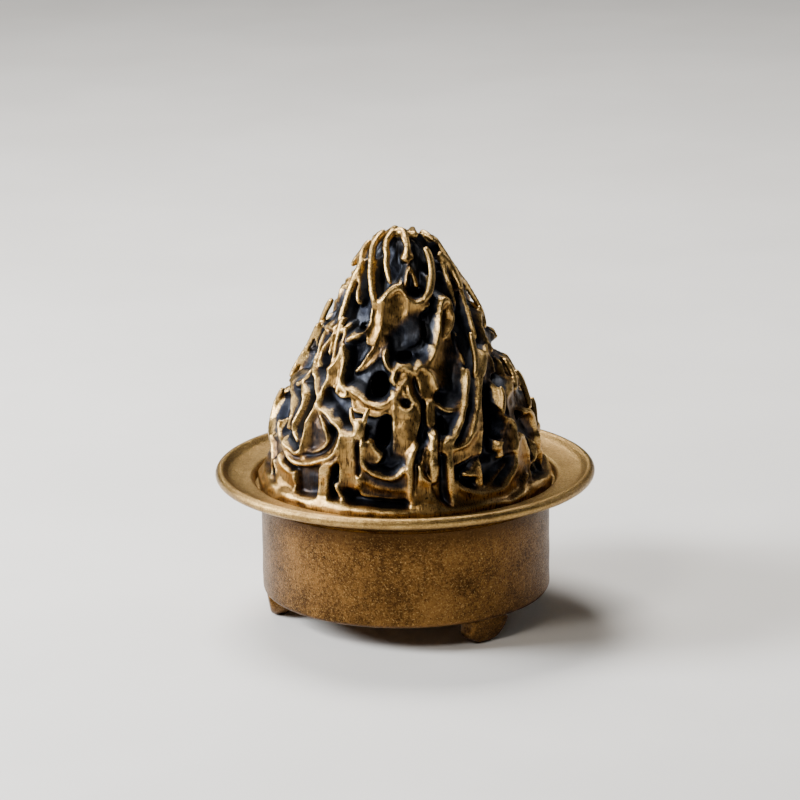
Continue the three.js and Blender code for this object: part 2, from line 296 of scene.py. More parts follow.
def sculpt_upper_front(r):
    """The shield-shaped plate with its tail under the summit, and the plates and ridges beside it."""
    r.plate([(-101, 54), (-101, 57.4), (-92, 58.6), (-80, 58.2), (-68, 57), (-61, 55), (-57, 51),
             (-70, 48.6), (-88, 49)], sink=1.1, foot=49)
    r.bead([(-66, 57), (-62.5, 55.5), (-59.5, 53.9), (-57.5, 51.6), (-55, 49.3)], 0.55)
    r.bead([(-61, 56.4), (-56.5, 55.2), (-50, 53.8), (-45, 52.3)], 0.42, proud=-0.5, end=0.3)
    r.bead([(-104, 57.6), (-96, 55.8), (-84, 54.4), (-74, 53.4)], 0.42, proud=-0.35)
    r.bead([(-44.5, 57.3), (-35, 55.1), (-29, 53.4), (-25.5, 52.2)], 0.5)
    r.plate([(-4, 58.8), (4, 59.8), (12, 59.6), (20, 58.6), (12, 57.8), (0, 57.8)], proud=-0.5, sink=0,
            lip=0, soft=0.5, upright=0)
    r.bead([(2.4, 54.8), (4.4, 56), (7, 56.9), (10, 56.9), (12.6, 56), (14, 54.9)], 0.3, proud=-0.5)
    r.plate([(56, 50), (55, 54), (62, 56.8), (73, 57.6), (83, 56.4), (84, 54), (78, 51.5), (68, 49)],
            foot=49.5, free=55.4, sink=0.7, tone=0.6)
    r.plate([(60, 45), (62, 49), (70, 52.4), (82, 54.1), (93, 53.4), (97, 50.5), (90, 46), (76, 43.5)],
            foot=44, free=51.8, sink=0.8, tone=0.5)
    r.plate([(-28.6, 46.4), (-28.4, 50), (-28.2, 51.4), (-25.5, 52.4), (-21, 52.8), (-16.5, 53.8),
             (-11.5, 54.9), (-4, 55.3), (0.5, 54.4), (4, 53.1), (13, 52.6), (19.5, 52.5), (17.5, 50),
             (14.4, 47), (6, 45.6), (-4, 45.4), (-12, 45.2), (-18, 46)], sink=0.45, lip=0.22, foot=44.4)
    r.swell([(-15.5, 54.6), (-16, 52), (-16.6, 49.6), (-19, 47)], 1.1, 0.55)
    r.swell([(-23, 51.6), (-23.5, 49)], 1.0, -0.3)
    r.pit([(-9, 44.8), (-4, 45.6), (4, 45.6), (9.6, 45.4), (9, 43.6), (1, 43.4), (-8, 43.6)], depth=2.6,
          soft=0.4)
    r.plate([(-18, 47.6), (-21, 46.4), (-25, 45), (-31, 42.6), (-29, 42.2), (-24, 42.9), (-19, 43.8),
             (-14, 44.8), (-9, 46), (-12, 47.4)], proud=-1.6, sink=0.3, lip=0.1, upright=0, tone=0.8)
    r.shade([(-6, 48), (4, 50.6), (16, 50.6), (17, 45), (8, 44), (-6, 44), (-16, 44.6)], 0.5, 0.7, 1.6)
    r.bead([(-19, 48.4), (-20, 47), (-22, 45.9), (-25, 44.9), (-28, 43.8), (-31.5, 42.5)], 0.36,
           end=0.2, proud=-1.2)
    r.bead([(-2.5, 55.1), (2.5, 53.5), (6, 53), (13, 52.6), (18.5, 52.8), (26, 53.7), (31.5, 55.1)],
           0.46)
    r.bead([(14.5, 52.1), (18, 52.1), (22.5, 52.3)], 0.3, proud=-0.4)
    r.pit([(15.5, 50.6), (20, 51), (24, 50.2), (25, 48.6), (21, 46.4), (16, 45.6), (14.6, 47.6)],
          depth=2.6)
    r.plate([(12.5, 43), (18.6, 44.5), (24.3, 47.4), (29, 49.8), (31, 51), (35, 52.1), (40, 52.6),
             (45.5, 52.4), (47, 51.4), (44.5, 49.6), (41.5, 46.8), (40, 43.5), (37, 41), (30, 39.2),
             (22, 39.6), (16.6, 41.4)], sink=0.6, lip=0.2, proud=-0.25, foot=38.6, tone=0.85)
    r.bead([(12.5, 43.4), (18.6, 44.6), (24.3, 47.4), (29, 49.8), (31.5, 51.1)], 0.42)
    r.bead([(32, 51), (35.4, 52.1), (40, 52.5), (44, 52.1), (44.6, 50.8)], 0.4, proud=0)
    r.bead([(44.6, 50.8), (41.6, 49.4), (36.4, 48.2), (31, 47.4)], 0.3, proud=-0.15)
    r.swell([(38, 51), (37, 49.8)], 0.5, -0.5)


def sculpt_upper_right(r):
    """The slot and the two plates to the right of the shield."""
    r.pit([(40.5, 43), (40.5, 47.4), (45, 48.8), (50, 48.4), (50.6, 46), (47.6, 43.6), (44, 42)], depth=3)
    r.bead([(44, 46.7), (42.2, 45), (41, 43)], 0.3, proud=-1.1)
    r.plate([(58, 41.4), (60, 43.8), (67, 45), (69.6, 46.6), (74, 48.2), (82, 48.6), (90, 47.4),
             (96, 44), (88, 41.4), (72, 40.6)], sink=0.5, foot=41, tone=0.55)
    r.bead([(68, 43.4), (68.4, 45.6), (71, 47.4), (77, 48.6), (84, 48.6)], 0.36)
    r.plate([(46, 40.4), (50, 42.2), (57, 44), (63, 43.2), (65, 41.6), (62, 39), (57, 37.8), (51, 38.2)],
            sink=0.5, tone=0.6)


def sculpt_upper_left(r):
    """The knotted cluster of small loops on the left shoulder."""
    r.plate([(-72, 47.4), (-68, 48.3), (-62, 48.3), (-58.5, 48.6), (-54, 49.4), (-50.5, 48.9),
             (-48.5, 46), (-48, 43.4), (-49, 41), (-56, 40.6), (-64, 42.4), (-70, 44.2)], sink=0.5,
            tone=0.7)
    r.pit([(-90, 45.6), (-78, 46.6), (-71.5, 45.4), (-70, 43), (-66.5, 41.8), (-68, 40), (-76, 39.4),
           (-90, 39.4)], depth=2.8, soft=0.35)
    r.pit([(-59.4, 43.9), (-56.5, 45.4), (-53.6, 45), (-52.2, 43.2), (-51, 41.6), (-53, 40.6),
           (-58, 41.6)], depth=2, soft=0.3)
    r.pit([(-66.4, 46.4), (-63, 46.8), (-61.4, 45.8), (-64, 45)], depth=1.6, soft=0.25)
    for places, size in (
        ([(-70.5, 47.5), (-66, 48), (-62, 47.8), (-57.5, 47.9), (-54.5, 48.4), (-52, 49.2)], 0.45),
        ([(-52, 49.2), (-51.5, 47.2), (-49.5, 45), (-48.2, 43), (-48.8, 42)], 0.42),
        ([(-69, 46.8), (-66.5, 44.9), (-65.5, 43.2), (-60.5, 41.5), (-55.5, 40.3), (-51, 39.2),
          (-48.2, 38.4), (-47, 37.6)], 0.42),
        ([(-57.6, 46.6), (-60.4, 45.4), (-62, 44.2), (-61.4, 43.2), (-58.6, 42.2)], 0.3),
        ([(-55, 47.6), (-55.4, 46), (-53.4, 44.6)], 0.3),
        ([(-49.6, 47.6), (-46.6, 48.2), (-45, 47.2), (-45, 45.6)], 0.3),
        ([(-41, 46.6), (-38.5, 47), (-34, 47.5), (-30.5, 48.3)], 0.36),
        ([(-62.5, 41.9), (-64.5, 40.4), (-67.5, 39.2), (-71, 38.7)], 0.32),
        ([(-47, 40.8), (-47.2, 39.4), (-45.4, 38.3)], 0.3),
    ):
        r.bead(places, size, proud=-0.1)
    r.plate([(-50, 42.3), (-47, 42.9), (-44.6, 44.2), (-43.6, 45.6), (-41.6, 45.6), (-40.4, 43.8),
             (-37.5, 41.9), (-34, 40.6), (-30.5, 39.8), (-31, 38.6), (-38, 38.6), (-43, 39.4),
             (-48, 40.6)], proud=-0.1, sink=0.5, lip=0.25, free=43.6)
    r.bead([(-50, 42.3), (-47, 42.9), (-44.6, 44.2), (-43.4, 45.7)], 0.3, proud=0)
    r.bead([(-41.6, 45.4), (-39.6, 43.4), (-38.4, 41.4), (-37.4, 39.6)], 0.34, proud=-0.15)


def sculpt_middle(r):
    """The sill under the large smoke hole, and the tall post with its two-lobed head."""
    r.plate([(-31, 40.2), (-23, 39), (-15.7, 38.3), (-8.6, 38.7), (-6, 39.8), (-6, 36.6), (-9, 36.8),
             (-14, 36.2), (-20, 36.4), (-28, 37)], proud=-0.7, sink=1.2)
    r.bead([(-31, 40), (-27, 39.5), (-23, 38.9), (-19, 38.3), (-15.7, 38.1), (-12, 38), (-8.6, 38.5),
            (-6.3, 39.4)], 0.4, proud=-0.4)
    r.bead([(-12.5, 45.2), (-11, 44.2), (-8.6, 43.4), (-5, 42.9)], 0.4, proud=-0.2)
    r.plate([(-5.8, 30.8), (-6, 38.8), (-4.9, 40), (-3, 39.8), (-1.6, 38.9), (0.3, 38.2), (2.2, 38.1),
             (4, 38.8), (6.3, 39), (8.4, 38.6), (8.3, 36.4), (6.4, 34.4), (5.4, 32.4), (4, 30.6),
             (-2, 30)], proud=-0.1, sink=0.15, lip=0.1, foot=29.4)
    r.swell([(6.1, 38.4), (6.2, 36.4)], 0.35, -0.45)
    r.plate([(6.4, 42.8), (9, 43.4), (13, 43.3), (16.3, 42.2), (17, 40.6), (15.8, 39), (12, 38.5),
             (8.5, 39.2), (6.8, 41)], proud=-0.55, sink=-0.5, lip=0.25)
    r.plate([(-5.4, 41.4), (-4.8, 42.7), (-2.4, 43.7), (1.4, 43.9), (4.6, 43.4), (6, 42.6), (5.4, 40.8),
             (4.6, 39), (1.6, 39.8), (-0.2, 41), (-2.6, 40.9)], proud=-0.2, sink=-0.2, lip=0.2)
    r.pit([(-3.4, 42.9), (-2.4, 43.2), (-1.7, 42.3), (-2.4, 41.8)], depth=0.8, soft=0.2)
    r.shade([(5, 41.6), (6.6, 41.8), (8.6, 39.6), (9, 38.8), (7, 39.2)], 0.4, 0.5, 0.35)
    for places, size in (
        ([(-5.6, 41.7), (-4.6, 43), (-2, 43.8), (1, 43.5), (4, 43.2), (6, 43)], 0.4),
        ([(-5.6, 41.5), (-3, 41), (-0.5, 41.2), (1.6, 41.9)], 0.32),
        ([(-5, 39.9), (-2.6, 39.7), (-2.2, 40.7), (-0.5, 40.6), (0.8, 39.6)], 0.42),
        ([(2.2, 42), (2.7, 40.7), (3.8, 39.5), (5.8, 38.9)], 0.46),
        ([(6.4, 42.8), (9, 43.4), (13, 43.3), (16.3, 42.2), (17, 40.6)], 0.4),
    ):
        r.bead(places, size, proud=0.05)
    r.plate([(10.3, 35.2), (10.5, 38.4), (12.5, 39), (15.6, 38.9), (15.8, 37), (14.8, 35.2)],
            proud=-0.55, sink=0.3)


def sculpt_right_slopes(r):
    """The two long blades that climb to the right, and the dark wells between them."""
    r.pit([(15.8, 38), (19, 37.6), (24, 37.4), (28, 38), (26, 35.5), (22, 34), (17, 33.8), (15.8, 35)],
          depth=1.9)
    r.bead([(16.5, 38.3), (19.3, 37.5), (23, 37.1), (27, 37.3), (29.5, 38.4)], 0.3, proud=-0.9)
    r.pit([(30, 39), (35, 41.4), (39, 42.8), (38, 40.8), (33, 38.4), (30, 36.6)], depth=2.6)
    r.pit([(22.6, 32.8), (26, 33.4), (30.6, 35.6), (34.5, 38.3), (38, 40.6), (42, 42.2), (44, 41),
           (40.6, 39.4), (37, 37.4), (33.5, 35.3), (29, 33.6), (24, 32.5)], depth=2.8, soft=0.3)
    r.bead([(19.5, 33.4), (21.5, 33.3), (23.5, 33.9), (26.5, 35.1), (29.5, 36.9), (32, 38.5),
            (35.5, 40.4), (38.5, 42)], 0.4, end=0.42, proud=-0.1)
    r.plate([(22.6, 32), (27, 32.4), (31, 33.6), (35, 35.4), (38, 37), (42.5, 39.3), (43.6, 38.4),
             (40, 35), (37.4, 31.6), (34.5, 28.6), (28, 28.2), (22.8, 28.6)], proud=-0.3, sink=0.6,
            foot=27.8, tone=0.85)
    r.pit([(44.6, 39.5), (49, 40.6), (54, 39.8), (55.6, 37.6), (50.4, 34.8), (46.6, 31.8), (44.6, 29.4),
           (39, 28.8), (36.6, 29.6), (39.5, 34)], depth=3.2)
    r.bead([(22.6, 32), (27, 32.3), (30.7, 33.4), (33.5, 34.8), (37, 36.6), (40, 38.2), (43, 39.4),
            (46.5, 40.5), (50, 41.7), (54, 42.8), (58, 43.5)], 0.5)
    r.plate([(52, 30), (55, 34), (58, 37), (62, 37.6), (68, 38.2), (76, 38.8), (90, 38), (92, 33),
             (80, 30), (64, 29)], sink=0.7, foot=28.4, tone=0.7)
    r.plate([(45, 30.4), (47.4, 32.6), (49, 34), (53.6, 34), (54.4, 31.4), (52.4, 28.2), (47, 27.4),
             (44.4, 28.2)], proud=-0.55, sink=0.4, tone=0.6)
    r.bead([(57.2, 38.6), (55.5, 37.1), (53, 35.8), (50, 34.5), (47.5, 32.6), (45, 30.6)], 0.44)
    r.bead([(49.5, 34), (52.5, 34.4), (55.3, 34), (56.3, 32.6), (55, 30.8), (53.4, 29.2)], 0.46, proud=0)
    r.bead([(60, 37.4), (64, 37.8), (68, 38.4), (76, 39)], 0.4)
    r.bead([(72, 34), (76, 33.6), (79, 31.6), (80, 29), (80.5, 26.4)], 0.42)


def sculpt_teardrop(r):
    """The teardrop plate on the left with the ring ridges that run under it."""
    r.pit([(-58, 38.6), (-53, 39), (-49, 38), (-50, 36.6), (-52.6, 34.4), (-53.4, 32.2), (-56, 31.8),
           (-57.6, 33.4), (-56.6, 35.6)], depth=2.2, soft=0.3)
    r.pit([(-46, 39.4), (-42, 39.2), (-37, 38.7), (-33, 37.5), (-29.6, 35), (-31.6, 34.8), (-36, 35.9),
           (-43, 37)], depth=2.3, soft=0.35)
    r.pit([(-68, 34), (-62.4, 30.4), (-54, 28.7), (-46, 28.8), (-38, 29.6), (-31.6, 31), (-29.4, 33.4),
           (-34, 35), (-42, 36), (-52, 36)], depth=1.7, soft=0.3)
    r.plate([(-47, 37.9), (-44, 36.6), (-41, 35.6), (-37.5, 34.7), (-35, 33.4), (-34.7, 32.1),
             (-37, 31), (-41.5, 30.1), (-46, 29.7), (-50.6, 29.6), (-51.8, 30.6), (-51.8, 32),
             (-51.2, 34.1), (-49.6, 36.2)], proud=-0.1, sink=0.2, lip=0.3)
    r.plate([(-46.6, 36.4), (-43.4, 35.8), (-40.6, 34.8), (-37.6, 33.8), (-36.4, 32.6), (-38.4, 31.5),
             (-42.4, 30.7), (-46.4, 30.3), (-47, 32), (-47.8, 34)], proud=-0.8, sink=0.2, lip=0,
            soft=0.3, tone=0.55)
    r.bead([(-47, 38), (-44.5, 37), (-42, 36.6), (-39, 36.2), (-36, 35.6), (-32, 34.9), (-29.2, 34.2)],
           0.36)
    r.bead([(-66, 39), (-60, 38), (-57.6, 37.2), (-57, 35.6), (-58, 33.6), (-57, 32.2), (-53.4, 31.4)],
           0.38, proud=-0.15)
    r.bead([(-52, 29.2), (-46, 28.95), (-40, 29.5), (-35, 30.6), (-32, 32), (-30.6, 33.6)], 0.26,
           proud=-0.7)
    r.bead([(-28.4, 33.4), (-30.5, 31.2), (-33.5, 30), (-38.5, 29.2), (-44, 28.6), (-50, 28.1),
            (-56.5, 28.5), (-61, 29.4), (-63, 30.6)], 0.42, proud=0)


def sculpt_left_edge(r):
    """The long curves and the thin posts at the left edge of the front."""
    r.bead([(-92, 38.6), (-86, 38.4), (-80.5, 38.2), (-71.5, 37), (-65, 35.4), (-62, 34.2), (-63, 32.6)],
           0.38, proud=-0.3)
    r.pit([(-94, 36.4), (-82, 37.1), (-74, 36.3), (-67.4, 34.6), (-66.4, 32.6), (-70, 31.2), (-78, 30.6),
           (-92, 31)], depth=2.8, soft=0.3)
    r.plate([(-90, 28.4), (-82, 29.6), (-76, 31), (-72, 31.6), (-66, 30), (-62, 29), (-62, 27.6),
             (-72, 26.6), (-90, 26)], proud=-0.7, sink=0.4, foot=25.4, tone=0.5)
    r.bead([(-71, 33), (-69, 31.6), (-66.5, 30.7), (-60.5, 30), (-54, 29.5), (-51, 29.6)], 0.36,
           proud=-0.1)
    r.bead([(-95, 34), (-91, 31.4), (-84, 30), (-79, 29), (-75.5, 27.6), (-73, 26)], 0.46)
    r.bead([(-71, 26.7), (-68.6, 25.4), (-66, 24.5), (-61, 24)], 0.34)


def sculpt_lower_front(r):
    """The posts, bars, bowls and recesses just above the rail."""
    r.plate([(-66, 28.5), (-61, 27.4), (-56, 26.8), (-51.4, 27), (-50.6, 26.2), (-50.6, 23.2),
             (-60, 23.2), (-65, 24.6), (-67, 26.4)], proud=-0.15, sink=0.3, lip=0.25)
    r.plate([(-50.2, 23.6), (-50.2, 27.7), (-44, 27.9), (-38.6, 28.4), (-38.4, 23.4)], proud=-1.4,
            sink=0, lip=0, tone=0.45, straight=True)
    r.plate([(-38, 23), (-38.2, 27.6), (-37.4, 28.5), (-35, 29.2), (-32, 29.5), (-30, 30.1),
             (-28.2, 31.4), (-27.6, 30.4), (-29.6, 28.9), (-31.6, 28.4), (-32.4, 27), (-32.4, 24.4),
             (-31.6, 23)], proud=-0.05, sink=0.15)
    r.pit([(-32, 28), (-30.6, 28.6), (-28.9, 29.6), (-28.7, 25), (-30, 24), (-32, 24)], depth=1.6,
          soft=0.25)
    r.pit([(-20.4, 27.4), (-19, 33), (-17, 33.6), (-13, 33), (-8, 30.8), (0.6, 30), (0.6, 24),
           (-10, 23.6), (-24, 24.1)], depth=1.7, soft=0.35, straight=True)
    r.plate([(-17.6, 32.8), (-15.6, 33.4), (-13.6, 33), (-11.5, 31.9), (-9.2, 31), (-10.6, 29.7),
             (-13, 29.3), (-15.8, 29.7), (-17.4, 30.8)], proud=-0.7, sink=0.2, lip=0.3, tone=0.75)
    r.plate([(-18.6, 30.4), (-17.4, 29.2), (-14.3, 28.3), (-10.5, 27.8), (-6, 27.5), (-2.5, 28),
             (0.6, 29.2), (0.8, 26), (-6, 25.9), (-12, 26.2), (-19, 27)], proud=-0.65, sink=0.5,
            lip=0, tone=0.35)
    r.bead([(-18.5, 32.4), (-18.5, 30.5), (-17.4, 29.2), (-14.4, 28.3), (-10.5, 27.7), (-6, 27.5),
            (-2.5, 28), (0.4, 29)], 0.38, proud=-0.15)
    r.plate([(-19.5, 27.5), (-16, 26.7), (-12, 26.1), (-6, 25.8), (0.8, 25.8), (0.8, 24.3), (-10, 24.1),
             (-19.5, 24.6)], proud=-0.7, sink=0.6, lip=0, tone=0.6)
    r.bead([(-19.5, 27.3), (-16.4, 26.8), (-13, 26.2), (-9, 25.9), (-5.5, 25.8), (0.8, 25.8)], 0.3,
           proud=-0.5)
    r.pit([(-26, 24.5), (-18, 24.4), (-8, 24.1), (1, 24.2), (3.6, 23.6), (0.6, 23.1), (-10, 23.2),
           (-22, 23.6)], depth=2, soft=0.3)
    r.plate([(-28.7, 24.8), (-28.9, 33.4), (-28, 34.1), (-24, 34.2), (-21.4, 34), (-20.7, 33),
             (-20.9, 24.6)], proud=-0.1, sink=0.35, foot=23.8)
    r.plate([(-20.7, 24.8), (-20.7, 27.6), (-19.6, 28), (-19.5, 33.2), (-18, 33.6), (-17.2, 32.6),
             (-17.3, 29.4), (-18.4, 27.4), (-18.8, 25)], proud=-0.25, sink=0.2, foot=24.8)
    r.pit([(-20.9, 27.8), (-20.9, 32.8), (-19.7, 32.8), (-19.7, 27.8)], depth=1.7, soft=0.15,
          straight=True)
    r.bead([(-29, 34.1), (-26.5, 33.8), (-23.5, 33.7), (-21, 34)], 0.36, proud=0)
    r.plate([(12.3, 24), (12.6, 27.5), (14.5, 28.2), (16.4, 28.4), (16.6, 23.8)], proud=-0.7, sink=0.3)
    r.pit([(22.4, 27.4), (23, 28.6), (28, 29.6), (36, 29.8), (44, 28.8), (50, 28.8), (52.6, 28.6),
           (50, 26.8), (45, 25.3), (38, 24.6), (30, 25.2), (24.5, 26.2)], depth=2.4)
    r.bead([(35, 24.8), (38, 25), (42.5, 26), (46.5, 27.2), (49.5, 28)], 0.3, proud=-1.2)
    r.plate([(26.4, 27.6), (29.4, 28), (31.4, 28.9), (33.4, 29.3), (35.2, 28.7), (35.5, 25.3),
             (33, 24.8), (31.2, 25.2), (31, 26.8), (28.4, 27)], proud=-0.5, sink=0.2, tone=0.8)
    r.bead([(26.4, 27.7), (29.4, 28.1), (31.6, 29), (33.6, 29.3)], 0.28, proud=-0.45)
    r.pit([(5, 24), (5.4, 31), (7.6, 33.4), (10, 33.6), (10.6, 31), (10.8, 27), (9, 25)], depth=1.7,
          soft=0.3)
    r.pit([(15.4, 24), (15.8, 33), (17.8, 32), (18, 24)], depth=1.5, soft=0.2, straight=True)
    r.bead([(2.2, 24.6), (2.3, 27), (2.6, 29.4), (3.4, 31.2), (5, 32.6)], 0.86, end=0.66, proud=0.05)
    r.bead([(8, 29), (8.6, 30.6), (9.6, 32.4)], 0.3, proud=-0.5)
    r.bead([(12.8, 27.4), (12.8, 29.6), (13, 31.6), (13.1, 33.9)], 1.12, proud=0.05)
    r.plate([(16.4, 31.7), (16.4, 32.9), (17.2, 33.4), (21, 33.4), (21.9, 32.9), (21.8, 31.2),
             (18.2, 31.2)], proud=-0.05, sink=0.1, lip=0.15, soft=0.2)
    r.bead([(19.9, 23.8), (20, 26), (20, 29), (20, 32.4)], 0.78, proud=0)
    r.plate([(22, 27), (23.5, 26), (26, 25.3), (29.3, 24.7), (34, 24.2), (38, 24.1), (42, 24.3),
             (45, 24.8), (49.5, 26.2), (53, 27.8), (54, 29.4), (57, 31), (61, 31.6), (65, 29),
             (66, 26), (62, 23.6), (56, 22), (40, 21.6), (22, 22)], proud=-0.15, sink=0.5, tone=0.85)
    r.bead([(22.2, 26.9), (23.6, 26), (26, 25.3), (29.3, 24.7), (34, 24.2), (38, 24.1), (42, 24.3),
            (44.5, 24.7), (49.5, 26.1), (52.6, 27.4), (53.8, 28.8), (53.2, 29.6)], 0.42, proud=0)
    r.bead([(60.5, 25), (57.6, 24.2), (53.5, 22.8)], 0.3, proud=0)
    r.pit([(66, 25.8), (74, 26), (83, 24.8), (82, 23.4), (73, 23), (66, 23.8)], depth=1.7, soft=0.35)
    r.plate([(1, 23.2), (3, 24.5), (4.6, 26), (5.4, 28), (5.9, 29.7), (6.6, 30.1), (7.6, 29.2), (9, 28.1),
             (11, 27.3), (12, 26), (12.8, 24.9), (14.5, 24), (17, 23.2), (10, 22.2)], proud=0.05,
            sink=0.2, lip=0.12, soft=0.22)
    r.bead([(-29.8, 25.8), (-28, 24.9), (-25.4, 23.6)], 0.36)


# The wavy top edge of the rail that the lid stands on, as (angle, z), all the way round.
RAIL_EDGE = [
    (-180, 24.1), (-168, 23.4), (-154, 24.8), (-140, 23.6), (-128, 24.6), (-112, 23.4), (-98, 24.4),
    (-84, 24.7), (-72, 24.1), (-60, 23.7), (-46, 23.6), (-38, 23.9), (-30, 23.9), (-22, 23.5),
    (-10, 23.2), (0, 23.2), (6, 23.8), (14, 23.8), (20, 23.1), (32, 22.9), (46, 22.9), (60, 23.8),
    (72, 23.6), (84, 23.2), (96, 24.6), (108, 23.6), (120, 24.4), (134, 23.3), (148, 24.7), (162, 23.5),
    (172, 24.6), (180, 24.1),
]

# Where the lid's outline steps in above each tip, as (height, first angle, last angle).
NOTCHES = [
    (54.3, -114, -84), (51.4, -114, -84), (47.5, -114, -84), (36.9, -116, -86),
    (49.9, 82, 108), (45.2, 84, 106), (41.3, 84, 108), (35, 84, 110),
]


def sculpt_notches(r):
    """The steps in the lid's outline on its left and right."""
    for z, first, last in NOTCHES:
        r.pit([(first, z + 0.8), (first + 8, z), (last - 6, z), (last, z + 0.8), (last - 6, z + 1.7),
               (first + 8, z + 1.9)], depth=1.9, soft=0.35)


def sculpt_rail(r):
    """The plain band at the lid's foot, up to its wavy edge, with a faint lip along the edge."""
    angles, heights = zip(*RAIL_EDGE)
    edge = np.interp(r.angles, angles, heights)
    kernel = np.hanning(25)
    edge = np.convolve(np.concatenate([edge[-12:], edge, edge[:12]]), kernel / kernel.sum(), "valid")
    below = edge[None, :] - r.heights[:, None]
    lip = 0.12 * np.exp(-(((below - 0.35) / 0.4) ** 2))
    cover = smoothstep(0.5 + below / 0.5)
    target = np.maximum(r.radius, r.outer - 0.1 + lip)
    r.radius[:] = r.radius + (target - r.radius) * cover
    r.tint[:] = np.maximum(r.tint, cover)


# ---------------------------------------------------------------- the lid's sides and back
# The photo doesn't show them: rows of leaning peaks in the same style as the front.

# Each row is (height of its valleys, spacing of its peaks in mm, first angle, last angle).
BACK_ROWS = [
    (56.6, 5.6, 98, 260), (52.6, 6, 92, 264), (47.4, 6, 88, 268), (42, 6.2, 82, 276), (36.4, 6.2, 78, 282),
    (30.8, 6, 72, 288), (25.4, 5.4, 64, 294),
]
# No tip reaches higher than this.
TIP_TOP_Z = 61.4
# What stands at a place, as shares that add up: a loop, a bowl, a post, and otherwise a peak.
LOOPS, BOWLS, POSTS = 0.04, 0.18, 0.3


def sculpt_peak(r, rng, middle, half, valley):
    """One leaning peak, with the bright ridge that runs over it from valley to valley."""
    tall = min(rng.uniform(3.4, 6) + max(rng.uniform(-3, 3.4), 0), TIP_TOP_Z - valley)
    tip = middle + rng.uniform(-0.4, 0.4) * half
    blunt = rng.uniform(0.16, 0.34) * half
    left, right = middle - half, middle + half
    low = valley + rng.uniform(-0.5, 0.5)
    top = valley + tall
    side_left = (left + 0.62 * (tip - blunt - left), low + 0.42 * tall)
    side_right = (right + 0.62 * (tip + blunt - right), low + 0.42 * tall)
    over = [(left, low), side_left, (tip - blunt, top - 0.5), (tip, top), (tip + blunt, top - 0.5),
            side_right, (right, low)]
    r.plate([*over, (right, low - 3.4), (left, low - 3.4)], proud=rng.uniform(-0.5, -0.15),
            sink=rng.uniform(0.2, 0.7), foot=low - 3.6, free=top - 1.6 if tall > 3.6 else None,
            upright=TERRACE_DROP, tone=rng.uniform(0.45, 1))
    keep = over if rng.random() < 0.45 else (over[:5] if rng.random() < 0.5 else over[2:])
    r.bead(keep, rng.uniform(0.36, 0.52), end=rng.uniform(0.3, 0.5), proud=-0.1, top=top)


def sculpt_bowl(r, rng, middle, half, valley):
    """A dark hollow in a plate, with a bright ridge that hangs under it from two tips."""
    left_top, right_top = valley + rng.uniform(2.4, 4.4), valley + rng.uniform(2.4, 4.4)
    under = [(middle - half, left_top), (middle - 0.78 * half, valley + 1.2), (middle - 0.1 * half, valley),
             (middle + 0.74 * half, valley + 1.4), (middle + half, right_top)]
    r.plate([*under, (middle + half, valley - 3), (middle - half, valley - 3)], proud=-0.3, sink=0.4,
            foot=valley - 3, tone=rng.uniform(0.5, 1))
    r.pit([*under, (middle + 0.3 * half, valley + 3)], depth=2.4)
    r.bead(under, rng.uniform(0.38, 0.46), proud=-0.05)


def sculpt_loop(r, middle, half, valley):
    """A small well with a bright ridge round it."""
    ring = [(middle + 0.5 * half * math.cos(t), valley + 1.2 + 1.7 * math.sin(t))
            for t in np.linspace(0, 5.2, 6)]
    r.pit(ring, depth=2.6)
    r.bead(ring, 0.36, closed=True, proud=-0.2)


def sculpt_post(r, rng, middle, half, valley):
    """A round post that leans a little."""
    foot, top = valley - rng.uniform(1, 2.6), valley + rng.uniform(3, 4.8)
    lean = rng.uniform(-0.2, 0.2) * half
    r.bead([(middle, foot), (middle, (foot + top) / 2), (middle + lean, top)], rng.uniform(0.7, 1),
           proud=0, top=top)


def sculpt_back(r, rng):
    """Rows of peaks, with a few loops, bowls and posts among them. The top rows have no bowls or posts."""
    for row, (valley, spacing, first, last) in enumerate(BACK_ROWS):
        width = math.degrees(spacing / dome(OUTER_DOME, valley))
        count = round((last - first) / width)
        width = (last - first) / count
        for i in range(count):
            middle = first + (i + 0.5 * (row % 2) + rng.uniform(-0.16, 0.16)) * width
            half = width * rng.uniform(0.46, 0.6)
            kind = rng.random()
            if kind < LOOPS:
                sculpt_loop(r, middle, half, valley)
            elif kind < BOWLS and row > 0:
                sculpt_bowl(r, rng, middle, half, valley)
            elif kind < POSTS and row > 1:
                sculpt_post(r, rng, middle, half, valley)
            else:
                sculpt_peak(r, rng, middle, half, valley)


# ---------------------------------------------------------------- pieces that stand out from the lid

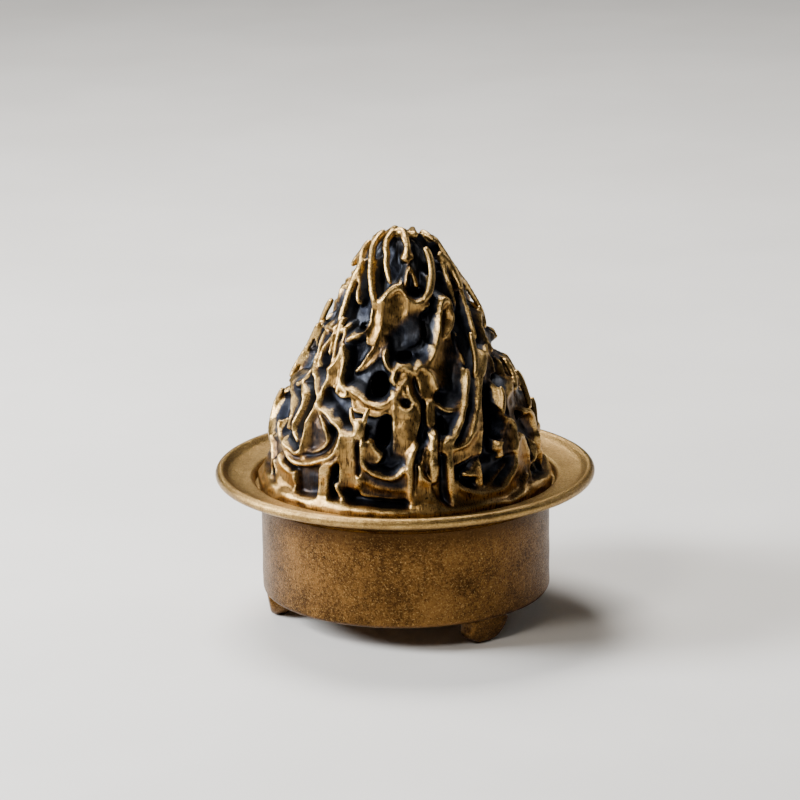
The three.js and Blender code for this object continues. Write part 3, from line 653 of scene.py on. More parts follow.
# Ridges that run over the summit, as chains of (angle, z, thickness).
SUMMIT_RIDGES = [
    [(-90, 61.1, 0.62), (-70, 60.4, 0.55), (-56, 59.2, 0.52), (-44.5, 57.3, 0.5), (-35, 55.1, 0.46),
     (-26, 52.7, 0.4)],
    [(150, 61.2, 0.5), (-120, 61.75, 0.55), (-50, 61.5, 0.52), (-39.5, 60.8, 0.48), (-26, 59.4, 0.46),
     (-22.5, 57.9, 0.42), (-17, 56.4, 0.38), (-13.5, 55.4, 0.3)],
    [(-34, 61.9, 0.5), (4, 61.7, 0.52), (9, 60.8, 0.46)],
    [(-98, 59.5, 0.6), (-90, 58.7, 0.5), (-83, 58.1, 0.45), (-72, 57.5, 0.45), (-63, 56.7, 0.5),
     (-62.5, 55.4, 0.55), (-59.5, 53.9, 0.5), (-57.5, 51.7, 0.45), (-55, 49.6, 0.4)],
    [(-112, 58.6, 0.5), (-105, 57.2, 0.5), (-95, 56.2, 0.4)],
    [(114, 61.1, 0.4), (96, 60.7, 0.46), (84, 60.2, 0.3)],
    [(43, 59.5, 0.5), (42, 58.2, 0.55), (36, 56.2, 0.5), (31.5, 55.1, 0.5), (26, 53.9, 0.45),
     (20, 53, 0.4)],
    [(70, 58.3, 0.5), (74, 57.5, 0.72), (79, 56.3, 0.72), (76, 55, 0.6), (70, 54, 0.4)],
    [(68, 53.4, 0.4), (78, 54.5, 0.45), (90, 53.2, 0.45), (95, 50.6, 0.4), (96, 48.4, 0.35)],
    [(102, 60.2, 0.6), (108, 58.4, 0.5), (112, 56.4, 0.45), (110, 54, 0.4)],
    [(130, 60.6, 0.5), (140, 58.4, 0.5), (138, 56.2, 0.42), (146, 54, 0.4)],
    [(170, 60.2, 0.55), (178, 58, 0.5), (176, 55.6, 0.4)],
    [(-150, 60.4, 0.55), (-156, 58.4, 0.5), (-152, 56, 0.45), (-158, 54, 0.4)],
    [(-120, 61, 0.5), (-128, 59.2, 0.5), (-126, 57, 0.42), (-132, 55, 0.4)],
]
# Spikes that rise clear of the surface, as chains of (angle, z, thickness, how far inside the dome).
SPIKES = [
    [(4, 61.9, 0.46, 0.0), (9, 61.1, 0.46, 0.0), (8.4, 60.1, 0.46, 0.15), (7, 59.2, 0.5, 0.5)],
    [(-26.2, 37.9, 0.3, 0.0), (-25.2, 36.9, 0.34, 0.0), (-24, 36.1, 0.36, 0.2), (-22.4, 35.8, 0.4, 0.6)],
    [(-17.6, 38, 0.34, 0.0), (-18.4, 37.1, 0.34, 0.0), (-18.9, 36.2, 0.36, 0.2), (-20.2, 35.8, 0.4, 0.6)],
    [(-21.4, 36.4, 0.95, -0.1), (-21, 35.4, 0.9, 0.0), (-21, 34.2, 0.8, 0.4)],
    [(-93, 36.3, 0.42, 0.0), (-95, 34.8, 0.42, 0.0), (-94, 32.6, 0.42, 0.0), (-91, 31, 0.45, 0.1),
     (-84, 29.8, 0.45, 0.2)],
    [(-71, 33.2, 0.3, 0.0), (-70, 32.2, 0.32, 0.1), (-68, 31.2, 0.3, 0.4)],
    [(-92, 46.9, 0.46, 0.0), (-95, 44.8, 0.46, 0.0), (-97, 42, 0.46, 0.0), (-98, 40, 0.5, 0.1),
     (-95, 38.6, 0.45, 0.3)],
    [(-92, 50.9, 0.45, 0.0), (-95, 49.4, 0.45, 0.0), (-98, 47.4, 0.42, 0.2), (-98, 45.8, 0.4, 0.6)],
    [(-88, 53.8, 0.45, 0.0), (-94, 52.4, 0.42, 0.0), (-97, 51, 0.4, 0.4)],
    [(91, 39, 0.5, 0.0), (89, 37.6, 0.5, 0.0), (86, 35.8, 0.45, 0.2), (84, 34, 0.4, 0.6)],
    [(82, 41.5, 0.46, 0.0), (81, 40.2, 0.46, 0.0), (78, 39, 0.42, 0.1), (74, 37.8, 0.4, 0.5)],
    [(92, 34.4, 0.42, 0.0), (90, 33, 0.42, 0.1), (87, 31, 0.4, 0.5)],
    [(74, 34.3, 0.4, 0.0), (78, 33, 0.4, 0.1), (80, 31, 0.4, 0.5)],
    [(88, 49.6, 0.5, 0.0), (86, 48.4, 0.46, 0.2), (84, 47, 0.4, 0.6)],
    [(52.6, 47.3, 0.46, 0.0), (51, 45.9, 0.46, 0.0), (49.4, 44.2, 0.46, 0.0), (47.4, 42.8, 0.42, 0.2),
     (45.2, 41.8, 0.4, 0.5)],
    [(58.4, 43.9, 0.46, 0.0), (55, 42.9, 0.44, 0.1), (50, 41.5, 0.4, 0.3)],
    [(57.6, 39, 0.36, 0.0), (56, 37.7, 0.36, 0.0), (53.4, 36.2, 0.34, 0.3)],
    [(-43.2, 46.2, 0.36, 0.0), (-43, 44.8, 0.36, 0.1), (-43, 43.4, 0.34, 0.4)],
    [(-51.4, 49.7, 0.42, 0.0), (-51.6, 48.4, 0.42, 0.1), (-50.4, 46.8, 0.38, 0.4)],
    [(35, 52.5, 0.4, 0.1), (39, 52.9, 0.46, 0.0), (43, 52.6, 0.4, 0.1)],
    [(39, 42.6, 0.36, 0.0), (37, 41.3, 0.38, 0.0), (34.4, 39.8, 0.36, 0.3)],
    [(-22, 52.7, 0.36, 0.4), (-17, 53.8, 0.5, 0.2), (-11, 54.8, 0.55, 0.1), (-5, 55.2, 0.5, 0.15),
     (0.5, 54.6, 0.4, 0.5)],
]
# Smoke holes, as (angle, z, half width, half height) in degrees and mm.
SMOKE_HOLES = [
    (-15.4, 40.6, 2.0, 1.9), (-10.2, 34.2, 1.35, 2.4), (18.8, 34.9, 0.95, 1.2), (15, 53.8, 1.3, 0.65),
    (-74, 41.6, 2.4, 2.3), (-34.5, 48.5, 1.2, 0.55), (46.6, 35, 2.0, 3.6), (18.4, 48, 0.8, 1.5),
    (0.5, 44.6, 1.6, 0.6), (69, 33.6, 0.6, 0.8), (-79, 34, 3.2, 2.1), (64, 39.7, 1.7, 0.85),
    (44.6, 45.4, 0.8, 1.8), (104, 42.6, 1.5, 1.5), (118, 34.4, 1.6, 1.7),
    (136, 46.2, 1.4, 1.3), (158, 38.2, 1.7, 1.8), (174, 32, 1.4, 1.5), (222, 46.4, 1.4, 1.5),
    (219, 39.4, 1.7, 1.7), (243, 33.6, 1.5, 1.5), (262, 45, 1.4, 1.3), (100, 52.4, 1.2, 1.1),
    (214, 54, 1.1, 1),
]

# How far the summit's flat cut lies under the top of the CAD lid.
SUMMIT_DROP = 0.5

# The grid's step and half width, and how far from the surface its distances are kept.
GRID = 0.2
GRID_EDGE = 24.4
GRID_REACH = 0.8
LID_TRIANGLES = 190000


def on_dome(angle, z, inside):
    """The point in mm at an angle and height that lies so far inside the dome."""
    radius = max(dome(OUTER_DOME, z) - inside, 0.05)
    a = math.radians(angle)
    return np.array([radius * math.sin(a), -radius * math.cos(a), z])


def sampled(field, row, column):
    """The map's value at fractional rows and columns."""
    row = np.clip(row, 0, field.shape[0] - 1.001)
    i = row.astype(int)
    j = np.floor(column).astype(int)
    t, u = row - i, column - j
    j, k = j % field.shape[1], (j + 1) % field.shape[1]
    low = field[i, j] * (1 - u) + field[i, k] * u
    high = field[i + 1, j] * (1 - u) + field[i + 1, k] * u
    return low * (1 - t) + high * t


def add_chain(field, axes, points, sizes, blend=0.25):
    """Joins a chain of round-ended tapering rods to the solid, with a small fillet."""
    for a, b, size_a, size_b in zip(points, points[1:], sizes, sizes[1:]):
        reach = max(size_a, size_b) + 0.9
        span = [np.searchsorted(axis, (min(p, q) - reach, max(p, q) + reach))
                for axis, p, q in zip(axes, a, b)]
        where = tuple(slice(low, high) for low, high in span)
        x, y, z = np.meshgrid(*(axis[s] for axis, s in zip(axes, where)), indexing="ij")
        along = b - a
        t = (x - a[0]) * along[0] + (y - a[1]) * along[1] + (z - a[2]) * along[2]
        t = np.clip(t / max(along @ along, 1e-9), 0, 1)
        off = np.sqrt((x - a[0] - t * along[0]) ** 2 + (y - a[1] - t * along[1]) ** 2
                      + (z - a[2] - t * along[2]) ** 2)
        rod = off - size_a - (size_b - size_a) * t
        old = field[where]
        h = np.clip(0.5 + 0.5 * (old - rod) / blend, 0, 1)
        field[where] = old + (rod - old) * h - blend * h * (1 - h)


def lid_field(r):
    """Distance to the lid's surface on a grid, negative inside the metal."""
    x = np.arange(-GRID_EDGE, GRID_EDGE, GRID)
    z = np.arange(SEAT_Z - 2 * GRID, LID_TOP_Z + 1, GRID)
    east, north = np.meshgrid(x, x, indexing="ij")
    radius = np.maximum(np.hypot(east, north), 0.05)
    angle = np.arctan2(east, -north)
    column = (np.degrees(angle) + 180) / ANGLE_STEP
    nearest = np.round(column).astype(int) % r.radius.shape[1]
    rise = np.gradient(r.radius, HEIGHT_STEP, axis=0)
    turn = (np.roll(r.radius, -1, 1) - np.roll(r.radius, 1, 1)) / (2 * math.radians(ANGLE_STEP))
    slope = np.sqrt(1 + np.minimum(rise, 4) ** 2 + (np.clip(turn, -60, 60) / r.outer) ** 2)
    field = np.empty((len(x), len(x), len(z)), np.float32)
    for k, height in enumerate(z):
        row = (height - MAP_LOW_Z) / HEIGHT_STEP
        rows = np.full(radius.shape, row)
        near = round(row)
        off = (radius - sampled(r.radius, rows, column)) / sampled(slope, rows, column)
        low, high = r.gap_low[near][nearest], r.gap_high[near][nearest]
        off = np.maximum(off, -np.maximum(low - radius, radius - high))
        for hole_angle, hole_z, half_width, half_height in SMOKE_HOLES:
            if abs(height - hole_z) > half_height + 1:
                continue
            swing = (angle - math.radians(hole_angle) + math.pi) % (2 * math.pi) - math.pi
            across = swing * dome(OUTER_DOME, hole_z) / half_width
            shape = np.sqrt(across**2 + ((height - hole_z) / half_height) ** 2) - 1
            one_side = abs(swing) < 1.2
            off = np.maximum(off, np.where(one_side, -shape * min(half_width, half_height), -9))
        off = np.maximum(off, dome(HOLLOW_DOME, height) - radius)
        off = np.maximum(off, height - (LID_TOP_Z - SUMMIT_DROP))
        field[:, :, k] = np.maximum(off, SEAT_Z - height)
    for chain in SUMMIT_RIDGES:
        points = [on_dome(angle, z_at, size + 0.1) for angle, z_at, size in smooth_path(chain, 3)]
        add_chain(field, (x, x, z), points, [size for _, _, size in smooth_path(chain, 3)], 0.3)
    for chain in SPIKES:
        path = smooth_path(chain, 3)
        points = [on_dome(angle, z_at - size, inside + size) for angle, z_at, size, inside in path]
        add_chain(field, (x, x, z), points, [size for _, _, size, _ in path])
    return np.clip(field, -GRID_REACH, GRID_REACH), x[0], z[0]


def largest_part(count, faces):
    """Which vertices belong to the mesh's largest connected part."""
    label = np.arange(count)
    ends = np.vstack([faces[:, [0, 1]], faces[:, [1, 2]], faces[:, [2, 0]]])
    while True:
        low = np.minimum(label[ends[:, 0]], label[ends[:, 1]])
        new = label.copy()
        np.minimum.at(new, ends[:, 0], low)
        np.minimum.at(new, ends[:, 1], low)
        new = new[new]
        if (new == label).all():
            break
        label = new
    return label == np.argmax(np.bincount(label))


def new_piece(name, mesh, material, body, node):
    """A mesh in the row frame, in metres, that rides on a body and stands for a CAD node."""
    piece = bpy.data.objects.new(name, mesh)
    bpy.context.scene.collection.objects.link(piece)
    mesh.materials.clear()
    mesh.materials.append(material)
    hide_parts(node)
    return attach(piece, body)


def lid_mesh(r):
    """The lid's surface from the distance grid: its largest part, facing outwards, with fewer triangles."""
    field, edge, low_z = lid_field(r)
    volume = openvdb.FloatGrid(GRID_REACH)
    volume.copyFromArray(field)
    points, quads = volume.convertToQuads(isovalue=0)
    points = np.array(points, float) * GRID + (edge, edge, low_z)
    faces = np.vstack([quads[:, [0, 1, 2]], quads[:, [0, 2, 3]]]).astype(np.int64)
    keep = largest_part(len(points), faces)
    faces = faces[keep[faces].all(axis=1)]
    renumber = np.cumsum(keep) - 1
    points, faces = points[keep], renumber[faces]
    corners = points[faces]
    volume_mm3 = np.einsum("ij,ij->i", corners[:, 0], np.cross(corners[:, 1], corners[:, 2])).sum() / 6
    if volume_mm3 < 0:
        faces = faces[:, ::-1]
    mesh = bpy.data.meshes.new("lid_fine")
    mesh.from_pydata(points * MM, [], faces)
    fine = bpy.data.objects.new("lid_fine", mesh)
    bpy.context.scene.collection.objects.link(fine)
    fewer = fine.modifiers.new("fewer", "DECIMATE")
    fewer.ratio = min(1, LID_TRIANGLES / len(faces))
    depsgraph = bpy.context.evaluated_depsgraph_get()
    done = bpy.data.meshes.new_from_object(fine.evaluated_get(depsgraph))
    bpy.data.objects.remove(fine)
    done.name = "lid"
    done.shade_smooth()
    return done


def store_wear(mesh, r):
    """Stores how deep each vertex lies under the dome, how far it stands out locally, and its tint."""
    places = np.empty(len(mesh.vertices) * 3, np.float32)
    mesh.vertices.foreach_get("co", places)
    x, y, z = places.reshape(-1, 3).T / MM
    radius = np.hypot(x, y)
    row = (z - MAP_LOW_Z) / HEIGHT_STEP
    column = (np.degrees(np.arctan2(x, -y)) + 180) / ANGLE_STEP
    outer = sampled(r.outer, row, column)
    around = sampled(blurred(r.radius, 0.5), row, column)
    tint = sampled(blurred(r.tint, 0.25), row, column)
    proud = sampled(blurred(r.radius, 0.15), row, column)
    tint = np.where(radius < proud - 1, 0, tint)
    for name, values in (("recess", outer - radius), ("rub", radius - around), ("tint", tint)):
        layer = mesh.attributes.new(name, "FLOAT", "POINT")
        layer.data.foreach_set("value", values.astype(np.float32))


def sculpt_lid():
    """The whole lid: its maps, worked over with a sway and lumps, then its mesh."""
    r = Relief()
    rng = np.random.default_rng(SEED)
    sculpt_back(r, rng)
    for sculpt in (sculpt_upper_front, sculpt_upper_right, sculpt_upper_left, sculpt_middle,
                   sculpt_right_slopes, sculpt_teardrop, sculpt_left_edge, sculpt_lower_front,
                   sculpt_notches, sculpt_rail):
        sculpt(r)
    rows, columns = np.indices(r.radius.shape)
    sway = 1.4 * soft_noise(rng, r.radius.shape, 5)
    lift = 0.8 * soft_noise(rng, r.radius.shape, 5)
    for name in ("radius", "tint", "gap_low", "gap_high"):
        setattr(r, name, sampled(getattr(r, name), rows + lift, columns + sway))
    r.radius = blurred(r.radius, 0.13)
    r.radius += 0.08 * soft_noise(rng, r.radius.shape, 1.8) + 0.035 * soft_noise(rng, r.radius.shape, 0.7)
    r.radius = np.minimum(r.radius, r.outer + 0.15)
    mesh = lid_mesh(r)
    store_wear(mesh, r)
    return mesh


# ---------------------------------------------------------------- turned pieces


def arc(centre_r, centre_z, radius, start, stop, steps):
    """Points of an arc in the (radius, z) plane, anticlockwise from +r, in degrees."""
    turns = np.radians(np.linspace(start, stop, steps + 1))
    return [(centre_r + radius * math.cos(t), centre_z + radius * math.sin(t)) for t in turns]


def turned(name, profile, steps, sharp, wobble=None):
    """A closed body turned about the axis from (radius, z) points, listed anticlockwise, in mm. Edges
    sharper than sharp, in degrees, stay crisp."""
    mesh = bpy.data.meshes.new(name)
    work = bmesh.new()
    rings = []
    for radius, z in profile:
        if radius < 1e-6:
            rings.append([work.verts.new((0, 0, z * MM))] * steps)
            continue
        ring = []
        for i in range(steps):
            a = 2 * math.pi * i / steps
            grow = wobble(radius, z, a) if wobble else 0
            ring.append(work.verts.new((
                (radius + grow) * math.sin(a) * MM, -(radius + grow) * math.cos(a) * MM, z * MM)))
        rings.append(ring)
    for below, above in zip(rings, rings[1:] + rings[:1]):
        for i in range(steps):
            j = (i + 1) % steps
            loop = [below[i], below[j], above[j], above[i]]
            corners = list(dict.fromkeys(loop))
            if len(corners) > 2:
                work.faces.new(corners)
    bmesh.ops.recalc_face_normals(work, faces=work.faces)
    work.to_mesh(mesh)
    work.free()
    mesh.shade_smooth()
    mesh.set_sharp_from_angle(angle=math.radians(sharp))
    return mesh


def brim_profile():
    """The brim's section: its underside, the rolled lip, the dish, the shoulder and the lid's seat."""
    lip_radius = 0.85
    lip_r, lip_z = BRIM_RADIUS - lip_radius, BRIM_HIGH.z - lip_radius
    seat_r = LID_FOOT_RADIUS + 0.4
    shoulder = 0.9
    dish = [(lip_r - 0.45, lip_z + 0.72), (lip_r - 1.2, lip_z + 0.1), (lip_r - 2.2, lip_z - 0.22),
            (lip_r - 3.3, lip_z - 0.4), (seat_r + shoulder, SEAT_Z + 1.42)]
    return [
        (CUP_BORE_RADIUS, CUP_HIGH.z), (CUP_RADIUS, CUP_HIGH.z),
        *arc(CUP_RADIUS + 0.9, CUP_HIGH.z + 0.35, 0.35, 200, 300, 3)[::-1],
        (CUP_RADIUS + 1.6, CUP_HIGH.z + 1.1), (lip_r - 0.8, lip_z - 0.98),
        *arc(lip_r, lip_z, lip_radius, -90, 118, 16),
        *[tuple(p) for p in smooth_path(dish, 3)[1:-1]],
        *arc(seat_r + shoulder, SEAT_Z + 0.52, shoulder, 90, 180, 8),
        (seat_r, SEAT_Z), (CUP_BORE_RADIUS, SEAT_Z),
    ]


def cup_profile():
    """The cup's section: flat floor, rounded bottom edge, straight wall, and a fillet inside."""
    edge = 0.8
    floor_z = MAT_LOW.z
    fillet = 1.2
    inner = arc(CUP_BORE_RADIUS - fillet, floor_z + fillet, fillet, -90, 0, 5)[::-1]
    return [
        (0, CUP_LOW.z), (12, CUP_LOW.z), (19, CUP_LOW.z),
        *arc(CUP_RADIUS - edge, CUP_LOW.z + edge, edge, -90, 0, 8),
        *[(CUP_RADIUS, z) for z in np.linspace(CUP_LOW.z + 1.8, CUP_HIGH.z, 12)],
        (CUP_BORE_RADIUS, CUP_HIGH.z), *inner, (12, floor_z), (0, floor_z),
    ]


def cup_wobble(radius, z, a):
    """How far the hand-finished outside wall lies inside a true cylinder."""
    if radius < CUP_RADIUS - 0.9:
        return 0
    return 0.02 * math.sin(5 * a + 1.3 * z) + 0.015 * math.sin(11 * a - 0.9 * z) - 0.02


def mat_mesh():
    """A felt disc: soft corners, a gently lumpy top, and a ragged rim."""
    top, low = MAT_HIGH.z, MAT_LOW.z
    radius = MAT_HIGH.x
    profile = [(0, low), (10, low), (radius - 0.6, low), *arc(radius - 0.7, low + 0.7, 0.7, -80, 0, 4),
               *arc(radius - 0.8, top - 0.8, 0.8, 0, 90, 5)]
    profile += [(r, top) for r in np.linspace(radius - 1.6, 0.8, 26)] + [(0, top)]
    mesh = turned("fire_mat_felt", profile, 160, 60)
    rng = np.random.default_rng(SEED + 1)
    waves = rng.uniform(-1, 1, (14, 3)) * (2.2, 2.2, 3.14)
    for vertex in mesh.vertices:
        x, y, z = vertex.co / MM
        if z < low + 0.3:
            continue
        lump = sum(math.sin(a * x + b * y + c) for a, b, c in waves) / len(waves)
        out = math.hypot(x, y)
        if out > radius - 0.9:
            swell = 1 - 0.012 * abs(lump)
            vertex.co.x *= swell
            vertex.co.y *= swell
        elif out > CONE_HIGH.x + 0.5:
            vertex.co.z = (z - 0.12 + 0.24 * lump) * MM if lump < 0 else (z - 0.12) * MM
    return mesh


def cone_mesh():
    """A pressed cone with a slightly swollen foot, a rounded tip and small lumps."""
    low, high, foot = CONE_LOW.z, CONE_HIGH.z, CONE_HIGH.x
    profile = [(0, low), (foot - 0.35, low), (foot, low + 0.35), (foot, low + 0.9)]
    rise = np.linspace(0, 1, 22)[1:]
    body = [(foot + (0.95 - foot) * t + 0.35 * math.sin(math.pi * t), low + 0.9 + (high - low - 1.5) * t)
            for t in rise]
    profile += body + arc(0, high - 0.85, 0.85, 15, 90, 4)[1:-1] + [(0, high)]

    def lumps(radius, z, a):
        if radius < 1 or radius > foot - 0.4:
            return 0
        return 0.05 * math.sin(3 * a + 1.9 * z) + 0.04 * math.sin(7 * a - 2.3 * z) - 0.05

    return turned("incense", profile, 96, 50, lumps)


# A foot's front outline, as (across, z) in mm: a flat sole, a small knob on its left side, and a
# long round flank on its right.
FOOT_OUTLINE = [
    (3.72, 4.3), (3.66, 3.3), (3.35, 2.4), (2.85, 1.6), (2.2, 0.85), (1.45, 0.3), (0.6, 0), (-0.7, 0),
    (-1.8, 0), (-2.3, 0.35), (-2.75, 0.6), (-3.3, 0.85), (-3.72, 1.35), (-3.76, 2), (-3.4, 2.45),
    (-3.2, 2.9), (-3.35, 3.5), (-3.5, 4.3),
]
FOOT_TOP_Z = 4.3
FOOT_MIDDLE_Z = 2.4
FOOT_ANGLES = {"foot_front_right": 36, "foot_left": -84, "foot_rear": 156}


def foot_mesh(name, angle):
    """A foot: its outline in layers of (radius, size, rake) from back to front. The rake moves each
    layer's sole towards the foot's middle, so that the foot narrows downwards."""
    front, back = CUP_RADIUS - 0.35, CUP_RADIUS - 5
    mesh = bpy.data.meshes.new(name)
    work = bmesh.new()
    rings = []
    layers = [(back, 0.72, 1.1), (back + 0.25, 0.9, 1.1), (back + 0.8, 1, 1.1), (front - 0.9, 1, -0.75),
              (front - 0.42, 0.97, -0.75), (front - 0.15, 0.9, -0.75), (front, 0.78, -0.75)]
    for radius, share, rake in layers:
        ring = []
        for across, z in FOOT_OUTLINE:
            x = across * share
            z = FOOT_MIDDLE_Z + (z - FOOT_MIDDLE_Z) * share if z < FOOT_TOP_Z else z
            out = radius + rake * (1 - max(z, 0) / FOOT_TOP_Z)
            ring.append(work.verts.new((x * MM, -out * MM, z * MM)))
        rings.append(ring)
    sole = min(v.co.z for ring in rings for v in ring)
    for ring in rings:
        for v in ring:
            if v.co.z < 0.05 * MM + sole:
                v.co.z = 0
    for near, far in zip(rings, rings[1:]):
        for i in range(len(near)):
            j = (i + 1) % len(near)
            work.faces.new((near[i], near[j], far[j], far[i]))
    work.faces.new(rings[0][::-1])
    work.faces.new(rings[-1])
    bmesh.ops.recalc_face_normals(work, faces=work.faces)
    bmesh.ops.rotate(work, verts=work.verts, cent=(0, 0, 0),
                     matrix=Matrix.Rotation(math.radians(angle), 3, "Z"))
    work.to_mesh(mesh)
    work.free()
    mesh.shade_smooth()
    mesh.set_sharp_from_angle(angle=math.radians(55))
    return mesh


# ---------------------------------------------------------------- materials


class Look:
    """A material in the making. Its methods add a node each and give back the socket to use."""

    def __init__(self, name):
        self.material = bpy.data.materials.new(name)
        self.material.use_nodes = True
        self.tree = self.material.node_tree
        self.tree.nodes.clear()
        self.shader = self.tree.nodes.new("ShaderNodeBsdfPrincipled")
        output = self.tree.nodes.new("ShaderNodeOutputMaterial")
        self.tree.links.new(self.shader.outputs["BSDF"], output.inputs["Surface"])

    def feed(self, socket, value):
        """Links a socket, or sets a plain value."""
        if isinstance(value, bpy.types.NodeSocket):
            self.tree.links.new(value, socket)
        else:
            socket.default_value = value

    def add(self, kind, output, inputs, **settings):
        """A node with its inputs fed, as the socket of one of its outputs."""
        node = self.tree.nodes.new("ShaderNode" + kind)
        for name, value in settings.items():
            setattr(node, name, value)
        for name, value in inputs.items():
            self.feed(node.inputs[name], value)
        return node.outputs[output]

    def position(self, scale=(1, 1, 1), turn=None):
        """The place on the piece in mm, turned and then scaled on each axis."""
        place = self.add("TexCoord", "Object", {})
        if turn:
            place = self.add("Mapping", "Vector", {"Vector": place, "Rotation": turn})
        return self.add("Mapping", "Vector", {"Vector": place, "Scale": [s / MM for s in scale]})

    def noise(self, scale, detail, rough=0.55, warp=0, turn=None):
        return self.add("TexNoise", "Fac", {"Vector": self.position(scale, turn), "Scale": 1,
                                            "Detail": detail, "Roughness": rough, "Distortion": warp})

    def cells(self, scale):
        return self.add("TexVoronoi", "Distance", {"Vector": self.position(scale), "Scale": 1})

    def stored(self, name):
        return self.add("Attribute", "Fac", {}, attribute_name=name)

    def height_mm(self):
        return self.add("SeparateXYZ", "Z", {"Vector": self.position()})

    def combine(self, kind, a, b):
        return self.add("Math", "Value", {0: a, 1: b}, operation=kind)

    def plus(self, a, b, share):
        """a with a share of b added to it."""
        return self.combine("ADD", a, self.combine("MULTIPLY", b, share))

    def ramp(self, value, low, high, to_low=0.0, to_high=1.0):
        return self.add("MapRange", "Result", {"Value": value, "From Min": low, "From Max": high,
                                               "To Min": to_low, "To Max": to_high},
                        interpolation_type="SMOOTHSTEP")

    def mixed(self, share, a, b):
        a, b = ((*color, 1) if isinstance(color, tuple) else color for color in (a, b))
        return self.add("Mix", "Result", {"Factor": share, "A": a, "B": b}, data_type="RGBA")

    def bumped(self, height, depth_mm, strength):
        return self.add("Bump", "Normal", {"Strength": strength, "Distance": depth_mm * MM,
                                           "Height": height})

    def finished(self, **inputs):
        """The material, with the shader's inputs fed. An underline in a name stands for a space."""
        for name, value in inputs.items():
            self.feed(self.shader.inputs[name.replace("_", " ")], value)
        return self.material


def lid_material():
    """Cast brass: dark blue-black hollows, streaky brown faces, and ridges rubbed back to yellow."""
    look = Look("cast_lid_brass")
    recess, rub, tint = look.stored("recess"), look.stored("rub"), look.stored("tint")
    patch = look.noise((0.35, 0.35, 0.35), 4)
    streak = look.noise((4.2, 4.2, 0.55), 3, 0.6)
    grain = look.noise((5, 5, 4), 3, 0.7)
    pit = look.ramp(look.cells((2.6, 2.6, 2.6)), 0.16, 0.3)
    uneven = look.combine("SUBTRACT", patch, 0.5)
    worn = look.plus(look.plus(rub, uneven, 0.5), recess, -0.08)
    worn = look.ramp(look.plus(worn, grain, 0.3), 0.2, 0.5)
    face = look.ramp(look.plus(look.plus(tint, uneven, 0.8), recess, -0.1), 0.12, 0.8)
    bare = look.ramp(look.plus(tint, uneven, 0.5), 0.5, 1.02)
    streaky = look.ramp(look.plus(look.plus(streak, grain, 0.3), face, 0.14), 0.57, 0.82)
    brown = look.mixed(bare, (0.11, 0.056, 0.016), (0.33, 0.19, 0.058))
    brown = look.mixed(streaky, (0.024, 0.013, 0.005), brown)
    dark = look.mixed(look.ramp(patch, 0.35, 0.65), (0.008, 0.009, 0.013), (0.029, 0.031, 0.037))
    gold = look.mixed(look.ramp(grain, 0.35, 0.6), (0.27, 0.155, 0.045), (0.56, 0.37, 0.135))
    gold = look.mixed(pit, (0.11, 0.06, 0.02), gold)
    color = look.mixed(worn, look.mixed(face, dark, brown), gold)
    shine = look.combine("ADD", look.combine("ADD", worn, face), grain)
    return look.finished(Base_Color=color, Metallic=1, Roughness=look.ramp(shine, 0.3, 2, 0.42, 0.31),
                         Normal=look.bumped(look.plus(streak, grain, 0.5), 0.07, 0.8))


def cup_material(name, light, dark, pale, wear=0.5, painted_brim_shade=0.0, rough=0.36):
    """Old brass with a fine grain, short hair scratches that lie in all directions, and dark pits. Towards
    the brim it is darkened with painted shade, standing in for the brim's shadow on the wall; one argument
    sets how much."""
    look = Look(name)
    grain = look.noise((3.4, 3.4, 3.4), 4, 0.8)
    fleck = look.noise((1.2, 1.2, 1.2), 3, 0.75)
    patch = look.noise((0.12, 0.12, 0.12), 4, 0.6)
    pit = look.ramp(look.cells((0.9, 0.9, 0.9)), 0.05, 0.13)
    hairs = [look.noise((5.2, 5.2, 1.6), 1, 0.5, turn=turn)
             for turn in ((0, 0.6, 0.3), (0.5, -0.7, 0), (0.2, 1.5, 0.9), (-0.6, 1.1, -0.4))]
    hair = hairs[0]
    for other in hairs[1:]:
        hair = look.combine("MAXIMUM", hair, other)
    tone = look.plus(look.plus(look.combine("MULTIPLY", grain, 0.6), patch, 0.4), fleck, 0.3)
    base = look.mixed(look.ramp(tone, 0.53, 0.79), dark, light)
    base = look.mixed(look.ramp(look.plus(hair, grain, 0.35), 0.84, 0.96, 0, wear), base, pale)
    base = look.mixed(pit, tuple(c * 0.3 for c in dark), base)
    # Painted shade: the top few mm of the wall, under the brim, darken as if in the brim's shadow.
    under = look.plus(look.height_mm(), patch, 3)
    base = look.mixed(look.ramp(under, CUP_HIGH.z - 3, CUP_HIGH.z + 1.4, 0, painted_brim_shade), base, dark)
    return look.finished(Base_Color=base, Metallic=1,
                         Roughness=look.ramp(tone, 0.45, 0.8, rough + 0.14, rough),
                         Normal=look.bumped(look.plus(grain, hair, 0.6), 0.1, 0.8))


def felt_material():
    """Pale felt, burnt brown in the middle."""
    look = Look("glass_felt")
    fibre = look.noise((3, 3, 3), 4, 0.8, 3)
    out = look.add("VectorMath", "Value", {0: look.position((1, 1, 0))}, operation="LENGTH")
    color = look.mixed(look.ramp(fibre, 0.3, 0.7), (0.5, 0.47, 0.41), (0.83, 0.8, 0.74))
    color = look.mixed(look.ramp(look.plus(out, fibre, 5), 7.5, 14, 1, 0), color, (0.13, 0.08, 0.045))
    return look.finished(Base_Color=color, Roughness=0.95, Normal=look.bumped(fibre, 0.35, 0.9))


